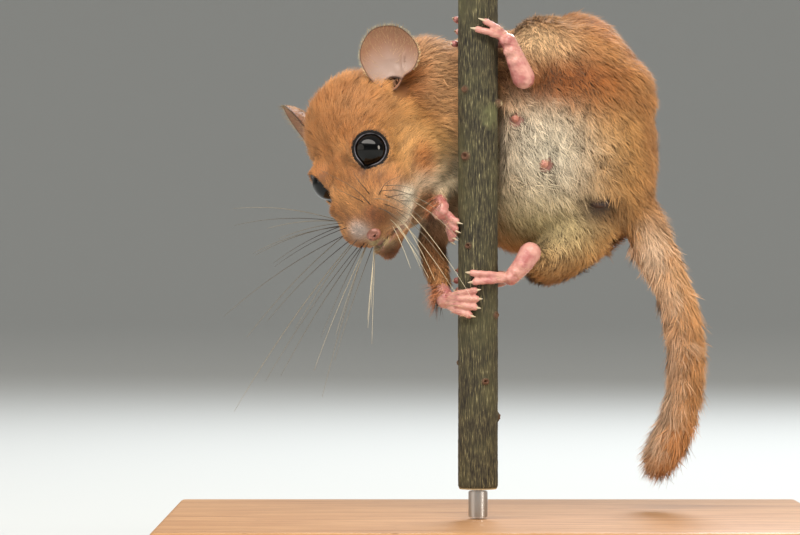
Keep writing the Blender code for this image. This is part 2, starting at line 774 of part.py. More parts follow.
def make_stand():
    post("perch_stem", STEM_RADIUS, STEM_FOOT, STEM_TOP, 32, 0.3)
    post("stand_rod", ROD_RADIUS, BASE_SIZE[2] + GAP, STEM_FOOT - GAP, 20)
    shape = bmesh.new()
    middle = Vector((-STEM_FROM_CENTRE[0], -STEM_FROM_CENTRE[1], BASE_SIZE[2] / 2))
    place = Matrix.Translation(middle) @ Matrix.Diagonal(BASE_SIZE + (1.0,))
    bmesh.ops.create_cube(shape, size=1.0, matrix=place)
    bmesh.ops.bevel(shape, geom=shape.edges[:], offset=BASE_EDGE, segments=2, affect="EDGES")
    make_object("stand_base", shape)


SURFACES = {
    # colour, roughness, metallic
    "coat": ((0.60, 0.27, 0.09), 0.85, 0.0),
    "bare_skin": ((0.74, 0.45, 0.36), 0.55, 0.0),
    "eye": ((0.012, 0.010, 0.009), 0.06, 0.0),
    "bark": ((0.17, 0.15, 0.09), 0.75, 0.0),
    "wood": ((0.42, 0.27, 0.14), 0.5, 0.0),
    "steel": ((0.55, 0.55, 0.56), 0.3, 1.0),
}
SURFACE_OF = (("ear", "bare_skin"), ("forepaw", "bare_skin"), ("hindfoot", "bare_skin"),
              ("eye", "eye"), ("perch_stem", "bark"), ("stand_base", "wood"),
              ("stand_rod", "steel"), ("", "coat"))

FACES = {"head": 2600, "torso": 2200, "neck": 700, "hindleg_left": 600, "hindleg_right": 600,
         "ear_left": 420, "ear_right": 420, "forepaw_left": 600, "forepaw_right": 600,
         "hindfoot_left": 760, "hindfoot_right": 760, "tail_1": 1450, "tail_2": 1550,
         "tail_3": 1550, "tail_4": 1350}


def build_all():
    clear_scene()
    make_animal()
    make_stand()
    for name, faces in FACES.items():
        thin_out(bpy.data.objects[name], faces)
        keep_largest(bpy.data.objects[name])
    for item in list(bpy.data.objects):
        add_surface(item)
    to_metres()


def to_metres():
    """Scales every node to metres and puts its origin at its own middle."""
    root = bpy.data.objects.new("dormouse_on_stand", None)
    bpy.context.scene.collection.objects.link(root)
    place = Matrix.Translation((STEM_FROM_CENTRE[0] * MM, STEM_FROM_CENTRE[1] * MM, 0))
    for item in [item for item in bpy.data.objects if item.type == "MESH"]:
        item.data.transform(place @ Matrix.Scale(MM, 4))
        corners = [vert.co for vert in item.data.vertices]
        middle = sum(corners, Vector()) / len(corners)
        item.data.transform(Matrix.Translation(-middle))
        item.location = middle
        item.parent = root


def add_surface(item):
    """Gives a node a material of its own and smooth shading between its sharp edges."""
    kind = next(kind for start, kind in SURFACE_OF if item.name.startswith(start))
    colour, roughness, metallic = SURFACES[kind]
    material = bpy.data.materials.new(item.name)
    material.use_nodes = True
    shader = material.node_tree.nodes["Principled BSDF"]
    shader.inputs["Base Color"].default_value = colour + (1.0,)
    shader.inputs["Roughness"].default_value = roughness
    shader.inputs["Metallic"].default_value = metallic
    item.data.materials.clear()
    item.data.materials.append(material)
    item.data.shade_smooth()
    item.data.set_sharp_from_angle(angle=math.radians(SHARP_FROM))


build_all()
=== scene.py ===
"""Hazel dormouse clinging to a cut stem on a plain wooden stand: the finish of every surface.

Measures are in millimetres round the stem's axis (x right, y away, z up from under the base),
and one function turns them into the frame's metres.
"""

import math

import bmesh
import bpy
import numpy as np
from mathutils import Matrix, Vector
from mathutils.kdtree import KDTree


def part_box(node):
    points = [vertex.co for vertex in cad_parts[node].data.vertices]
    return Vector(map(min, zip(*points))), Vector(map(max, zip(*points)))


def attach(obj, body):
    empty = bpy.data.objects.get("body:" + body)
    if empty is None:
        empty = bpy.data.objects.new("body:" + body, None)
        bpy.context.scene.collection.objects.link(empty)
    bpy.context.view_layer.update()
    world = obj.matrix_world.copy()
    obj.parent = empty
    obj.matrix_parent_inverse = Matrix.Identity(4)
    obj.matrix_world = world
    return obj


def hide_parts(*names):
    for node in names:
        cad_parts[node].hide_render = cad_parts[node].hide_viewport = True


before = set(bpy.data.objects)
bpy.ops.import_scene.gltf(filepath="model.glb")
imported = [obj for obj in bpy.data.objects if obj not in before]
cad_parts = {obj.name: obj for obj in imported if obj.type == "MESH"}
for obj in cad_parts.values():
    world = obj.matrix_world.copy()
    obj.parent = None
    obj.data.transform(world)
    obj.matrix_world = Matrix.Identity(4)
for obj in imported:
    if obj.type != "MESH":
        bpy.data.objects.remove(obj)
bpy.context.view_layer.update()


# Studio
# A pale paper floor that sweeps up all round, and soft daylight from above and in front, as
# for a museum photograph. The camera looks level at the animal from the photograph's side.

MM = 0.001
STEM_IN_FRAME = Vector((-3.0, -10.0, 0.0))
CAMERA_BACK = 600.0
VIEW_WIDTH = 800 / 6.0  # the photograph has six picture elements to the millimetre
VIEW_MIDDLE = (-13.0, 51.9)
FLOOR_FLAT = 2.6  # metres from the middle to where the paper starts to rise
FLOOR_SWEEP = 2.4
FLOOR_SIDES = 64
SKY_TONE = "EEEBE6"
SKY_STRENGTH = 0.55
LIGHT_TARGET = (0.0, 0.0, 0.07)
LIGHTS = {  # place, then width and height, in metres; watts; tint
    "sky_window": ((-0.16, -0.50, 0.66), (1.35, 0.38), 9.2, "FFF8EE"),
    "side_fill": ((0.70, -0.50, 0.22), (0.22, 0.34), 2.6, "FFF1E0"),
    "left_fill": ((-1.20, -0.50, 0.25), (1.20, 0.90), 3.0, "FFF4E6"),
    "back_rim": ((0.20, 0.50, 0.55), (0.5, 0.4), 5.0, "F6FAFF"),
}


def in_frame(points):
    """Millimetres round the stem to metres in the frame."""
    return (np.asarray(points, float) + np.array(STEM_IN_FRAME)) * MM


def hex_colour(code):
    """An sRGB hex colour as linear light."""
    values = []
    for start in (0, 2, 4):
        value = int(code[start:start + 2], 16) / 255
        values.append(value / 12.92 if value <= 0.04045 else ((value + 0.055) / 1.055) ** 2.4)
    return (*values, 1.0)


def add_node(tree, kind, settings=None, inputs=None):
    """Adds a node; inputs are values or the sockets to link from, by name or number."""
    node = tree.nodes.new(kind)
    for name, value in (settings or {}).items():
        setattr(node, name, value)
    for name, value in (inputs or {}).items():
        if isinstance(value, bpy.types.NodeSocket):
            tree.links.new(value, node.inputs[name])
        else:
            node.inputs[name].default_value = value
    return node


def new_material(name, **finish):
    """A material with its Principled BSDF, whose plain sockets take the finish given."""
    material = bpy.data.materials.new(name)
    material.use_nodes = True
    shader = material.node_tree.nodes["Principled BSDF"]
    for socket, value in finish.items():
        shader.inputs[socket.replace("_", " ")].default_value = value
    return material, material.node_tree, shader


def new_object(name, data, material=None):
    item = bpy.data.objects.new(name, data)
    bpy.context.scene.collection.objects.link(item)
    if material:
        data.materials.append(material)
    return item


def add_area_light(name, place, size, power, tint):
    light = bpy.data.lights.new(name, "AREA")
    light.shape = "ELLIPSE"
    light.size, light.size_y = size
    light.energy = power
    light.color = hex_colour(tint)[:3]
    item = new_object(name, light)
    item.location = place
    aim = Vector(LIGHT_TARGET) - Vector(place)
    item.rotation_euler = aim.to_track_quat("-Z", "Y").to_euler()


def make_studio():
    scene = bpy.context.scene
    camera = bpy.data.cameras.new("camera")
    camera.sensor_width = 36.0
    camera.lens = camera.sensor_width * CAMERA_BACK / VIEW_WIDTH
    camera.clip_start = 0.01
    camera.clip_end = 20.0
    scene.camera = new_object("camera", camera)
    scene.camera.location = in_frame((VIEW_MIDDLE[0], -CAMERA_BACK, VIEW_MIDDLE[1]))
    scene.camera.rotation_euler = (math.radians(90), 0, 0)

    turns = np.linspace(0, 2 * math.pi, FLOOR_SIDES, endpoint=False)
    rise = np.linspace(0, math.pi / 2, 16)
    reach = np.concatenate(((0.2, 1.0), FLOOR_FLAT + FLOOR_SWEEP * np.sin(rise)))
    level = np.concatenate(((0.0, 0.0), FLOOR_SWEEP * (1 - np.cos(rise))))
    verts = [(0.0, 0.0, 0.0)]
    faces = []
    for wide, high in zip(reach, level):
        verts += [(wide * math.cos(turn), wide * math.sin(turn), high) for turn in turns]
    for side in range(FLOOR_SIDES):
        after = (side + 1) % FLOOR_SIDES
        faces.append((0, 1 + side, 1 + after))
        for inner in range(1, len(verts) - FLOOR_SIDES, FLOOR_SIDES):
            outer = inner + FLOOR_SIDES
            faces.append((inner + side, outer + side, outer + after, inner + after))
    floor_mesh = bpy.data.meshes.new("floor")
    floor_mesh.from_pydata(verts, [], faces)
    floor_mesh.shade_smooth()
    pale, tree, shader = new_material("matt_pale_studio_paper", Roughness=0.9)
    shader.inputs["Base Color"].default_value = hex_colour("C0C3C2")
    new_object("floor", floor_mesh, pale)

    scene.world = bpy.data.worlds.new("soft_sky")
    scene.world.use_nodes = True
    sky = scene.world.node_tree.nodes["Background"]
    sky.inputs["Color"].default_value = hex_colour(SKY_TONE)
    sky.inputs["Strength"].default_value = SKY_STRENGTH
    for name, light in LIGHTS.items():
        add_area_light(name, *light)
    scene.view_settings.view_transform = "Standard"


make_studio()


# Stand
# A flat block of oiled beech with eased edges and a short turned steel pin up into the stem.
# Both were added to hold the perch; the base rests on the floor.

BASE_EDGE = 1.2
PIN_EDGE = 0.15
GRAIN_MM = 2.2
GRAIN_DRAWN_OUT = 12
TURNING_LINES = (200.0, 200.0, 12000.0)  # to the metre, across the pin and along it


def object_place(tree):
    return add_node(tree, "ShaderNodeTexCoord").outputs["Object"]


def stretched(tree, scales):
    """Places on a piece, counted along each axis by its own number to the metre."""
    return add_node(tree, "ShaderNodeMapping", inputs={
        "Vector": object_place(tree), "Scale": scales}).outputs["Vector"]


def noise(tree, place, scale, detail, settings=None, **inputs):
    return add_node(tree, "ShaderNodeTexNoise", settings, {
        "Vector": place, "Scale": scale, "Detail": detail, **inputs}).outputs["Fac"]


def ranged(tree, value, low=0.0, high=1.0, bottom=0.0, top=1.0, kind="LINEAR"):
    """A socket's run from low to high, laid out from bottom to top."""
    return add_node(tree, "ShaderNodeMapRange", {"interpolation_type": kind}, {
        "Value": value, "From Min": low, "From Max": high, "To Min": bottom,
        "To Max": top}).outputs["Result"]


def eased(tree, value, low, high, top=1.0):
    """A smooth step of a socket from 0 at low to top at high."""
    return ranged(tree, value, low, high, 0.0, top, "SMOOTHSTEP")


def tinted(tree, under, over, share):
    """One tone laid over another by a share; each tone is a socket or a hex colour."""
    under, over = (tone if isinstance(tone, bpy.types.NodeSocket) else hex_colour(tone)
                   for tone in (under, over))
    return add_node(tree, "ShaderNodeMix", {"data_type": "RGBA"}, {
        "Factor": share, 6: under, 7: over}).outputs[2]


def ramp_over(tree, value, stops):
    """A run of tones over a socket, each with its place from 0 to 1."""
    node = add_node(tree, "ShaderNodeValToRGB", inputs={"Fac": value})
    elements = node.color_ramp.elements
    for element, (spot, tone) in zip(elements, (stops[0], stops[-1])):
        element.position = spot
        element.color = hex_colour(tone)
    for spot, tone in stops[1:-1]:
        elements.new(spot).color = hex_colour(tone)
    return node.outputs["Color"]


def surface(tree, shader, tone, height=None, strength=0.0, depth=0.0):
    """Joins a tone to the shader, and relief too fine for the mesh, its depth in metres."""
    tree.links.new(tone, shader.inputs["Base Color"])
    if height is not None:
        bump = add_node(tree, "ShaderNodeBump", inputs={
            "Height": height, "Strength": strength, "Distance": depth})
        tree.links.new(bump.outputs["Normal"], shader.inputs["Normal"])


def mesh_from(name, shape):
    """A smooth-shaded mesh from a bmesh, which it frees."""
    mesh = bpy.data.meshes.new(name)
    shape.to_mesh(mesh)
    shape.free()
    mesh.shade_smooth()
    return mesh


def oiled_beech():
    """Oiled beech: pinkish tan, fine long grain with short dark flecks, a low satin sheen."""
    material, tree, shader = new_material("oiled_beech", Roughness=0.42)
    across = 1 / (GRAIN_MM * MM)
    place = stretched(tree, (1 / (GRAIN_MM * GRAIN_DRAWN_OUT * MM), across, across))
    grain = noise(tree, place, 1.0, 6.0, Roughness=0.65, Distortion=0.6)
    flecks = noise(tree, place, 7.0, 2.0)
    tone = ramp_over(tree, grain, ((0.3, "9A6B42"), (0.72, "C89A6A")))
    tone = tinted(tree, tone, "6E4526", ranged(tree, flecks, 0.66, 0.74))
    surface(tree, shader, tone, grain, 0.15, 0.0003)
    return material


def turned_steel():
    """Bright steel off the lathe: grey metal whose gloss comes and goes in fine rings."""
    material, tree, shader = new_material("turned_steel", Metallic=1.0)
    shader.inputs["Base Color"].default_value = hex_colour("B9BBBD")
    wear = noise(tree, stretched(tree, TURNING_LINES), 1.0, 3.0)
    tree.links.new(ranged(tree, wear, bottom=0.22, top=0.42), shader.inputs["Roughness"])
    return material


def make_stand():
    low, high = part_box("stand_base")
    shape = bmesh.new()
    bmesh.ops.create_cube(shape, size=1.0, matrix=Matrix.Translation((low + high) / 2)
                          @ Matrix.Diagonal((*(high - low), 1.0)))
    bmesh.ops.bevel(shape, geom=shape.edges[:], offset=BASE_EDGE * MM, segments=5,
                    profile=0.5, affect="EDGES")
    mesh = mesh_from("stand_board", shape)
    mesh.set_sharp_from_angle(angle=math.radians(25))
    board = new_object("stand_board", mesh, oiled_beech())
    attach(board, "root")
    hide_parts("stand_base")

    low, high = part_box("stand_rod")
    radius = (high.x - low.x) / 2
    shape = bmesh.new()
    bmesh.ops.create_cone(shape, cap_ends=True, segments=64, radius1=radius, radius2=radius,
                          depth=high.z - low.z, matrix=Matrix.Translation((low + high) / 2))
    rims = [edge for edge in shape.edges if abs(edge.verts[0].co.z - edge.verts[1].co.z) < 1e-7]
    bmesh.ops.bevel(shape, geom=rims, offset=PIN_EDGE * MM, segments=2, affect="EDGES")
    mesh = mesh_from("stand_pin", shape)
    mesh.set_sharp_from_angle(angle=math.radians(40))
    pin = new_object("stand_pin", mesh, turned_steel())
    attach(pin, "root")
    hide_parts("stand_rod")


make_stand()


# Perch
# A cut length of living shrub stem: thin grey-brown bark with short fine pale lengthwise
# cracks, rusty bud scars, a snapped bud and a little lichen; its sawn ends show cream wood.

STEM_RADIUS = 3.35
BARK_AROUND = 120
BARK_STEP = 0.3
BARK_RELIEF = 0.11
BARK_TONES = ((0.36, "14120C"), (0.46, "332E20"), (0.56, "48422D"), (0.65, "6E6748"),
              (0.75, "BCB28A"))
CRACK_WIDTH = 0.17
CRACK_LENGTH = 1.7
BARK_PATCH = 7.0
SAWN_EDGE = 0.5  # how far from a sawn end the bark starts to round off
BUD_SCARS = (  # degrees round the stem from the viewer's side, height, width
    (-42, 81.5, 0.8), (-40, 70.4, 1.1), (-30, 55.5, 0.7), (60, 44.0, 0.9), (150, 62.0, 1.0),
    (200, 88.0, 1.0), (-120, 36.0, 1.0), (20, 33.0, 0.8), (100, 27.0, 1.0))
SNAPPED_BUD = (74, 79.2, 1.25)
LICHEN = (44, 77.0, 3.4)


def ripple(points, scale, seed):
    """A smooth repeatable wobble from -1 to 1 made of crossed waves, features about scale long."""
    draw = np.random.default_rng(seed)
    total = np.zeros(len(points))
    weight = 0.0
    for octave in range(3):
        for wave in range(4):
            way = draw.normal(size=3)
            way /= np.linalg.norm(way)
            length = scale / 1.9 ** octave * draw.uniform(0.75, 1.3)
            share = 0.6 ** octave
            total += share * np.sin(points @ way * (2 * math.pi / length)
                                    + draw.uniform(0, 2 * math.pi))
            weight += share * 0.5
    return total / weight


def turn_outward(mesh):
    """Turns the faces of closed forms to look out."""
    shape = bmesh.new()
    shape.from_mesh(mesh)
    bmesh.ops.recalc_face_normals(shape, faces=shape.faces[:])
    shape.to_mesh(mesh)
    shape.free()
    mesh.shade_smooth()


def grid_mesh(name, points, closed=False):
    """A mesh from rows of rings, closed on itself or with a fan over each end."""
    rows, sides = points.shape[:2]
    verts = points.reshape(-1, 3)
    index = np.arange(rows * sides).reshape(rows, sides)
    near, far = (index, np.roll(index, -1, 0)) if closed else (index[:-1], index[1:])
    quads = np.stack((near, np.roll(near, -1, 1), np.roll(far, -1, 1), far), -1).reshape(-1, 4)
    faces = [tuple(face) for face in quads.tolist()]
    if not closed:
        verts = np.concatenate((verts, points[0].mean(0)[None], points[-1].mean(0)[None]))
        first, last = rows * sides, rows * sides + 1
        for j in range(sides):
            k = (j + 1) % sides
            faces.append((first, index[0, k], index[0, j]))
            faces.append((last, index[-1, j], index[-1, k]))
    mesh = bpy.data.meshes.new(name)
    mesh.from_pydata(verts.tolist(), [], faces)
    turn_outward(mesh)
    return mesh


def add_layer(mesh, name, values):
    """Stores a colour, or a single value, at each point of a mesh."""
    kind, key = ("FLOAT_COLOR", "color") if values.ndim > 1 else ("FLOAT", "value")
    layer = mesh.attributes.new(name, kind, "POINT")
    layer.data.foreach_set(key, np.ascontiguousarray(values, np.float32).ravel())


def layer_value(tree, name):
    return add_node(tree, "ShaderNodeAttribute", {"attribute_name": name}).outputs["Fac"]


def layer_parts(tree, name):
    """The sockets of the red, green and blue of a colour stored at a mesh's points."""
    colour = add_node(tree, "ShaderNodeAttribute", {"attribute_name": name}).outputs["Color"]
    parts = add_node(tree, "ShaderNodeSeparateColor", inputs={"Color": colour})
    return [parts.outputs[channel] for channel in ("Red", "Green", "Blue")]


def shrub_bark():
    """Thin shrub bark: grey brown, cracked lengthwise in short pale streaks, matt, lichened."""
    material, tree, shader = new_material("thin_grey_brown_bark", Roughness=0.82)
    across = 1 / (CRACK_WIDTH * MM)
    streak = noise(tree, stretched(tree, (across, across, 1 / (CRACK_LENGTH * MM))), 1.0, 3.0,
                   Roughness=0.6)
    patch = noise(tree, object_place(tree), 1 / (BARK_PATCH * MM), 3.0)
    tone = ramp_over(tree, streak, BARK_TONES)
    tone = tinted(tree, tone, "5C5A3A", ranged(tree, patch, 0.42, 0.7, top=0.5))
    for share, code in zip(layer_parts(tree, "bark_marks"), ("6B4330", "8C9060", "D9C79C")):
        tone = tinted(tree, tone, code, share)
    surface(tree, shader, tone, streak, 0.7, 0.00015)
    return material


def make_perch():
    low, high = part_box("perch_stem")
    foot, top = low.z / MM, high.z / MM
    rows = round((top - foot) / BARK_STEP)
    heights = np.linspace(foot, top, rows + 1)
    angles = np.linspace(0, 2 * math.pi, BARK_AROUND, endpoint=False)
    height, angle = np.meshgrid(heights, angles, indexing="ij")
    flat = np.stack((STEM_RADIUS * np.sin(angle), -STEM_RADIUS * np.cos(angle), height), -1)
    places = flat.reshape(-1, 3)
    cracks = ripple(places * (1, 1, 0.12), 1.1, 3) + 0.6 * ripple(places * (1, 1, 0.3), 0.7, 4)
    relief = (BARK_RELIEF * (0.5 * cracks - 0.5)).reshape(height.shape)
    marks = np.zeros(height.shape + (4,))

    def closeness(turn, level, width, tall=1.0):
        across = np.abs((angle - math.radians(turn) + math.pi) % (2 * math.pi) - math.pi)
        off = np.hypot(across * STEM_RADIUS, (height - level) / tall)
        return np.clip(1 - off / width, 0, 1)

    for turn, level, width in BUD_SCARS:
        near = closeness(turn, level, width, 0.8)
        relief += 0.5 * np.clip(near * 2, 0, 1) - 0.62 * np.clip(near * 3 - 1.5, 0, 1)
        marks[..., 0] = np.maximum(marks[..., 0], np.clip(near * 2.2, 0, 1) * 0.75)
    turn, level, width = SNAPPED_BUD
    near = closeness(turn, level, width, 0.7)
    relief += 0.85 * np.clip(near * 2.2, 0, 1) - 0.25 * np.clip(near * 3 - 1.8, 0, 1)
    marks[..., 2] = np.clip(near * 3 - 1.2, 0, 1) * 0.7
    marks[..., 0] = np.maximum(marks[..., 0], np.clip(near * 4, 0, 1) * 0.6)
    turn, level, width = LICHEN
    near = closeness(turn, level, width, 1.1)
    crust = np.clip(near * 2 - 0.55 + 0.5 * ripple(places, 2.0, 8).reshape(height.shape), 0, 1)
    marks[..., 1] = crust * 0.3
    relief += 0.06 * crust
    ease = np.clip(np.minimum(height - foot, top - height) / SAWN_EDGE, 0, 1)
    relief -= 0.25 * (1 - ease)
    reach = STEM_RADIUS + relief
    points = np.stack((reach * np.sin(angle), -reach * np.cos(angle), height), -1)
    mesh = grid_mesh("perch_bark", in_frame(points))
    marks[..., 2][ease < 0.05] = 1.0
    colours = np.concatenate((marks.reshape(-1, 4), np.tile((0, 0, 1.0, 0), (2, 1))))
    colours[:, 3] = 1.0
    add_layer(mesh, "bark_marks", colours)
    mesh.set_sharp_from_angle(angle=math.radians(60))
    perch = new_object("perch_bark", mesh, shrub_bark())
    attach(perch, "root")
    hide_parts("perch_stem")


make_perch()


# Skin
# One hide over the whole animal, under the coat: thin warm skin that shows only where the hair
# is sparse. It is made from the frame's own solids of flesh, melted into one and drawn in by
# the depth of the coat, with the tail's slim core run on from the rump.

NOSE = Vector((-17.2, -3.0, 58.0))
NOSE_WAY = Vector((-0.165, -0.692, -0.702)).normalized()
LEFT_WAY = Vector((0.609, -0.632, 0.480)).normalized()
CROWN_WAY = NOSE_WAY.cross(LEFT_WAY)
HEAD_AXES = np.array((NOSE_WAY, LEFT_WAY, CROWN_WAY))
EYE_RADIUS = 3.0
EYE_AT = (-9.9, 5.6, 7.4)
EYE_WAY = (0.69, 0.63, 0.35)  # forward, outward and up
CORNER_WAY = (0.72, -0.62, -0.30)  # from the eye's middle to its front corner
EYE_OPENING = 2.58  # from the eye's axis to the lids' edge
EYE_POINT = 0.6  # radians each side of the corner where the edge runs straight to it
EAR_AT = (-24.2, 12.25, 11.65)
EAR_FACING = (0.64, 0.68, 0.35)
EAR_UPWARD = (-0.58, 0.48, 0.66)
EAR_CANAL = (0.7, -5.6)  # across and up from the ear's middle
NOSE_PAD_AT = (0.72, -0.05, 0.0)
NOSE_PAD = (1.05, 1.4, 1.1)
MUZZLE_FILL = (-5.9, -4.8, 5.1, 3.0)  # forward, left and up of the nose tip; radius
EYE_CORNER_FILL = (-5.4, -4.0, 6.8, 1.7)
CHIN = (-0.6, -2.7, -4.9, 2.0)
TAIL_ROUTE = ((24.0, 10.5, 66.0), (26.2, 9, 62.5), (31, 9.5, 53), (33.9, 11.5, 46.5),
              (35.7, 14.5, 38.2), (35.5, 17.5, 29.8), (33.7, 20.5, 23.2), (32.2, 21.8, 19.8))
TAIL_CORE = 2.2
COAT_DEPTH = 0.95
MELT = 0.25
SKIN_VOXEL = 0.3
THIN_COAT = (  # ankles and wrists: centre, radius and depth of the coat there
    ((8.4, 1.0, 86.0), 5.5, 0.25), ((9.8, 1.5, 53.0), 5.0, 0.25),
    ((-6.0, 1.5, 64.5), 4.0, 0.15), ((-6.4, 2.5, 50.5), 5.5, 0.15))
MOUTH_MIDDLE = (1.6, -0.6, -2.0)
MOUTH_CORNER = (-8.0, 4.4, -1.4)
FLESH = ("torso", "neck", "head", "hindleg_left", "hindleg_right", "foreleg_left",
         "foreleg_right")


def head_place(forward, left, up):
    """A point by its way forward of the nose tip, to the animal's left and up."""
    return np.array(NOSE) + np.array((forward, left, up)) @ HEAD_AXES


def head_reading(points):
    """How far points lie forward of the nose tip, to the left and up."""
    return (points - np.array(NOSE)) @ HEAD_AXES.T


def eye_middle(side):
    return head_place(EYE_AT[0], EYE_AT[1] * side, EYE_AT[2])


def unit(ways):
    """The ways at length 1."""
    return ways / np.maximum(np.linalg.norm(ways, axis=-1), 1e-9)[..., None]


def eye_axes(side):
    """The way that an eye looks, and the way from its middle to its corner."""
    outward = np.array((1, side, 1))
    axis = (np.array(EYE_WAY) * outward) @ HEAD_AXES
    axis /= np.linalg.norm(axis)
    corner = (np.array(CORNER_WAY) * outward) @ HEAD_AXES
    corner -= corner @ axis * axis
    return axis, corner / np.linalg.norm(corner)


def ear_axes(side):
    """The middle of an ear, and the ways across it, up it and out of its cup."""
    facing, upward = (np.array(way) * (1, side, 1) @ HEAD_AXES for way in (EAR_FACING, EAR_UPWARD))
    facing /= np.linalg.norm(facing)
    upward -= upward @ facing * facing
    upward /= np.linalg.norm(upward)
    return (head_place(EAR_AT[0], EAR_AT[1] * side, EAR_AT[2]), np.cross(upward, facing) * side,
            upward, facing)


def lid_edge(turn):
    """From an eye's axis to the lids' edge, by the angle from the corner: round to a point."""
    return EYE_OPENING / np.cos(np.maximum(0, EYE_POINT - np.abs(turn)))


def lid_line(edge, beyond):
    """Height along the eye's axis of the skin round the lids, at a distance beyond the edge."""
    return (np.sqrt(np.maximum(EYE_RADIUS ** 2 - edge ** 2, 0.3)) + 0.12 + 0.25 * beyond
            + 0.35 * beyond ** 2)


def eye_reading(points, side):
    """Points' height along an eye's axis, their reach from it and that of the lids' edge."""
    axis, corner = eye_axes(side)
    way = points - eye_middle(side)
    height = way @ axis
    flat = way - height[..., None] * axis
    turn = np.arctan2(flat @ np.cross(axis, corner), flat @ corner)
    return height, np.linalg.norm(flat, axis=-1), lid_edge(turn)


def open_eye(points, side):
    """Sinks the skin under an eyeball and lays it close round the lids."""
    height, reach, edge = eye_reading(points, side)
    beyond = np.maximum(reach - edge, 0)
    line = lid_line(edge, beyond)
    fit = np.minimum(height, line)
    fit = np.where(beyond < 0.9, np.maximum(fit, line - 0.12), fit)
    ball = np.sqrt(np.maximum(EYE_RADIUS ** 2 - reach ** 2, 0.1)) - 0.3
    fit = np.where(reach < edge - 0.05, np.minimum(height, ball), fit)
    near = (reach - edge < 3.2) & (height > -2.5) & (height < 7.0)
    return points + np.outer(np.where(near, fit - height, 0), eye_axes(side)[0])


def smooth_route(points, steps):
    """A Catmull-Rom curve through the points, with equal steps between each pair."""
    knots = np.array(points, float)
    knots = np.concatenate(([2 * knots[0] - knots[1]], knots, [2 * knots[-1] - knots[-2]]))
    route = []
    for i in range(1, len(knots) - 2):
        before, start, end, after = knots[i - 1:i + 3]
        for step in range(steps):
            t = step / steps
            route.append(0.5 * (2 * start + (end - before) * t
                                + (2 * before - 5 * start + 4 * end - after) * t * t
                                + (3 * start - before - 3 * end + after) * t ** 3))
    route.append(knots[-2])
    return np.array(route)


def add_balls(shape, route, radii):
    for place, radius in zip(route, radii):
        bmesh.ops.create_icosphere(shape, subdivisions=2, radius=1.0,
                                   matrix=Matrix.Translation(place) @ Matrix.Scale(radius, 4))


def melted(shape, voxel):
    """The points and triangles of overlapping closed pieces melted into one."""
    mesh = mesh_from("melt", shape)
    item = new_object("melt", mesh)
    remesh = item.modifiers.new("melt", "REMESH")
    remesh.mode = "VOXEL"
    remesh.voxel_size = voxel
    bpy.context.view_layer.update()
    graph = bpy.context.evaluated_depsgraph_get()
    found = item.evaluated_get(graph).to_mesh()
    found.calc_loop_triangles()
    points = np.empty(len(found.vertices) * 3, np.float32)
    found.vertices.foreach_get("co", points)
    triangles = np.empty(len(found.loop_triangles) * 3, np.int32)
    found.loop_triangles.foreach_get("vertices", triangles)
    item.evaluated_get(graph).to_mesh_clear()
    bpy.data.objects.remove(item, do_unlink=True)
    bpy.data.meshes.remove(mesh)
    return points.reshape(-1, 3).astype(float), triangles.reshape(-1, 3)


def edges_of(triangles):
    pairs = np.sort(np.concatenate((triangles[:, :2], triangles[:, 1:], triangles[:, ::2])), 1)
    return np.unique(pairs, axis=0)


def spread(values, edges, rounds, keep=None):
    """Evens values out over neighbouring points."""
    values = values.astype(float).copy()
    count = np.bincount(edges.ravel(), minlength=len(values))[:, None]
    wide = values.reshape(len(values), -1)
    for turn in range(rounds):
        total = np.zeros_like(wide)
        for column in range(wide.shape[1]):
            total[:, column] = (np.bincount(edges[:, 0], wide[edges[:, 1], column], len(wide))
                                + np.bincount(edges[:, 1], wide[edges[:, 0], column], len(wide)))
        step = 0.5 * (total / np.maximum(count, 1) - wide)
        if keep is not None:
            step *= 1 - keep[:, None]
        wide = wide + step
    return wide.reshape(values.shape)


def face_ways(points, triangles):
    """The outward way of each triangle, as long as twice its area."""
    a, b, c = (points[triangles[:, i]] for i in range(3))
    return np.cross(b - a, c - a)


def normals_of(points, triangles):
    """Outward unit normals at the points."""
    faces = face_ways(points, triangles)
    normals = np.zeros_like(points)
    for column in range(3):
        for corner in range(3):
            normals[:, column] += np.bincount(triangles[:, corner], faces[:, column], len(points))
    return unit(normals)


def fall(value):
    """From 1 well below 0, through a half at 0, down to 0."""
    return 1 / (1 + np.exp(np.clip(value, -40, 40)))


def nearness(points, centre, radii, soft=1.0):
    """1 in the middle of a soft ellipsoid, 0.5 at its surface, falling to 0 outside."""
    off = np.linalg.norm((points - np.array(centre)) / np.array(radii), axis=1)
    return fall((off - 1) * 6 / soft)


def in_head(points):
    """1 in the front of the head, falling to 0 behind the ears."""
    read = head_reading(points)
    return fall((np.linalg.norm((read - (-12, 0, 1)) / (17, 13, 14), axis=1) - 1) * 9)


def coat_depth(points):
    """How far the skin lies below the outline that the coat's tips make."""
    read = head_reading(points)
    face = in_head(points)
    head_depth = np.interp(read[:, 0], (-26, -16, -8, -2, 1), (0.8, 0.5, 0.3, 0.16, 0.05))
    depth = COAT_DEPTH * (1 - face) + head_depth * face
    for centre, radius, thin in THIN_COAT:
        near = nearness(points, centre, (radius,) * 3)
        depth = depth * (1 - near) + thin * near
    return depth


def tree_of(points):
    tree = KDTree(len(points))
    for number, point in enumerate(points):
        tree.insert(point, number)
    tree.balance()
    return tree


def mouth_line(points):
    """Distance of each point from the line of the mouth as it runs over the skin."""
    tree = tree_of(points)
    route = []
    for t in np.linspace(-1, 1, 61):
        guide = head_place(*(np.array(MOUTH_MIDDLE) + np.array(MOUTH_CORNER) * (t * t, t, t * t)))
        route.append(tree.find(guide)[0])
    route = smooth_route(np.array(route)[::6], 6)
    near = np.full(len(points), 9.0)
    for place in route:
        near = np.minimum(near, np.linalg.norm(points - place, axis=1))
    return near


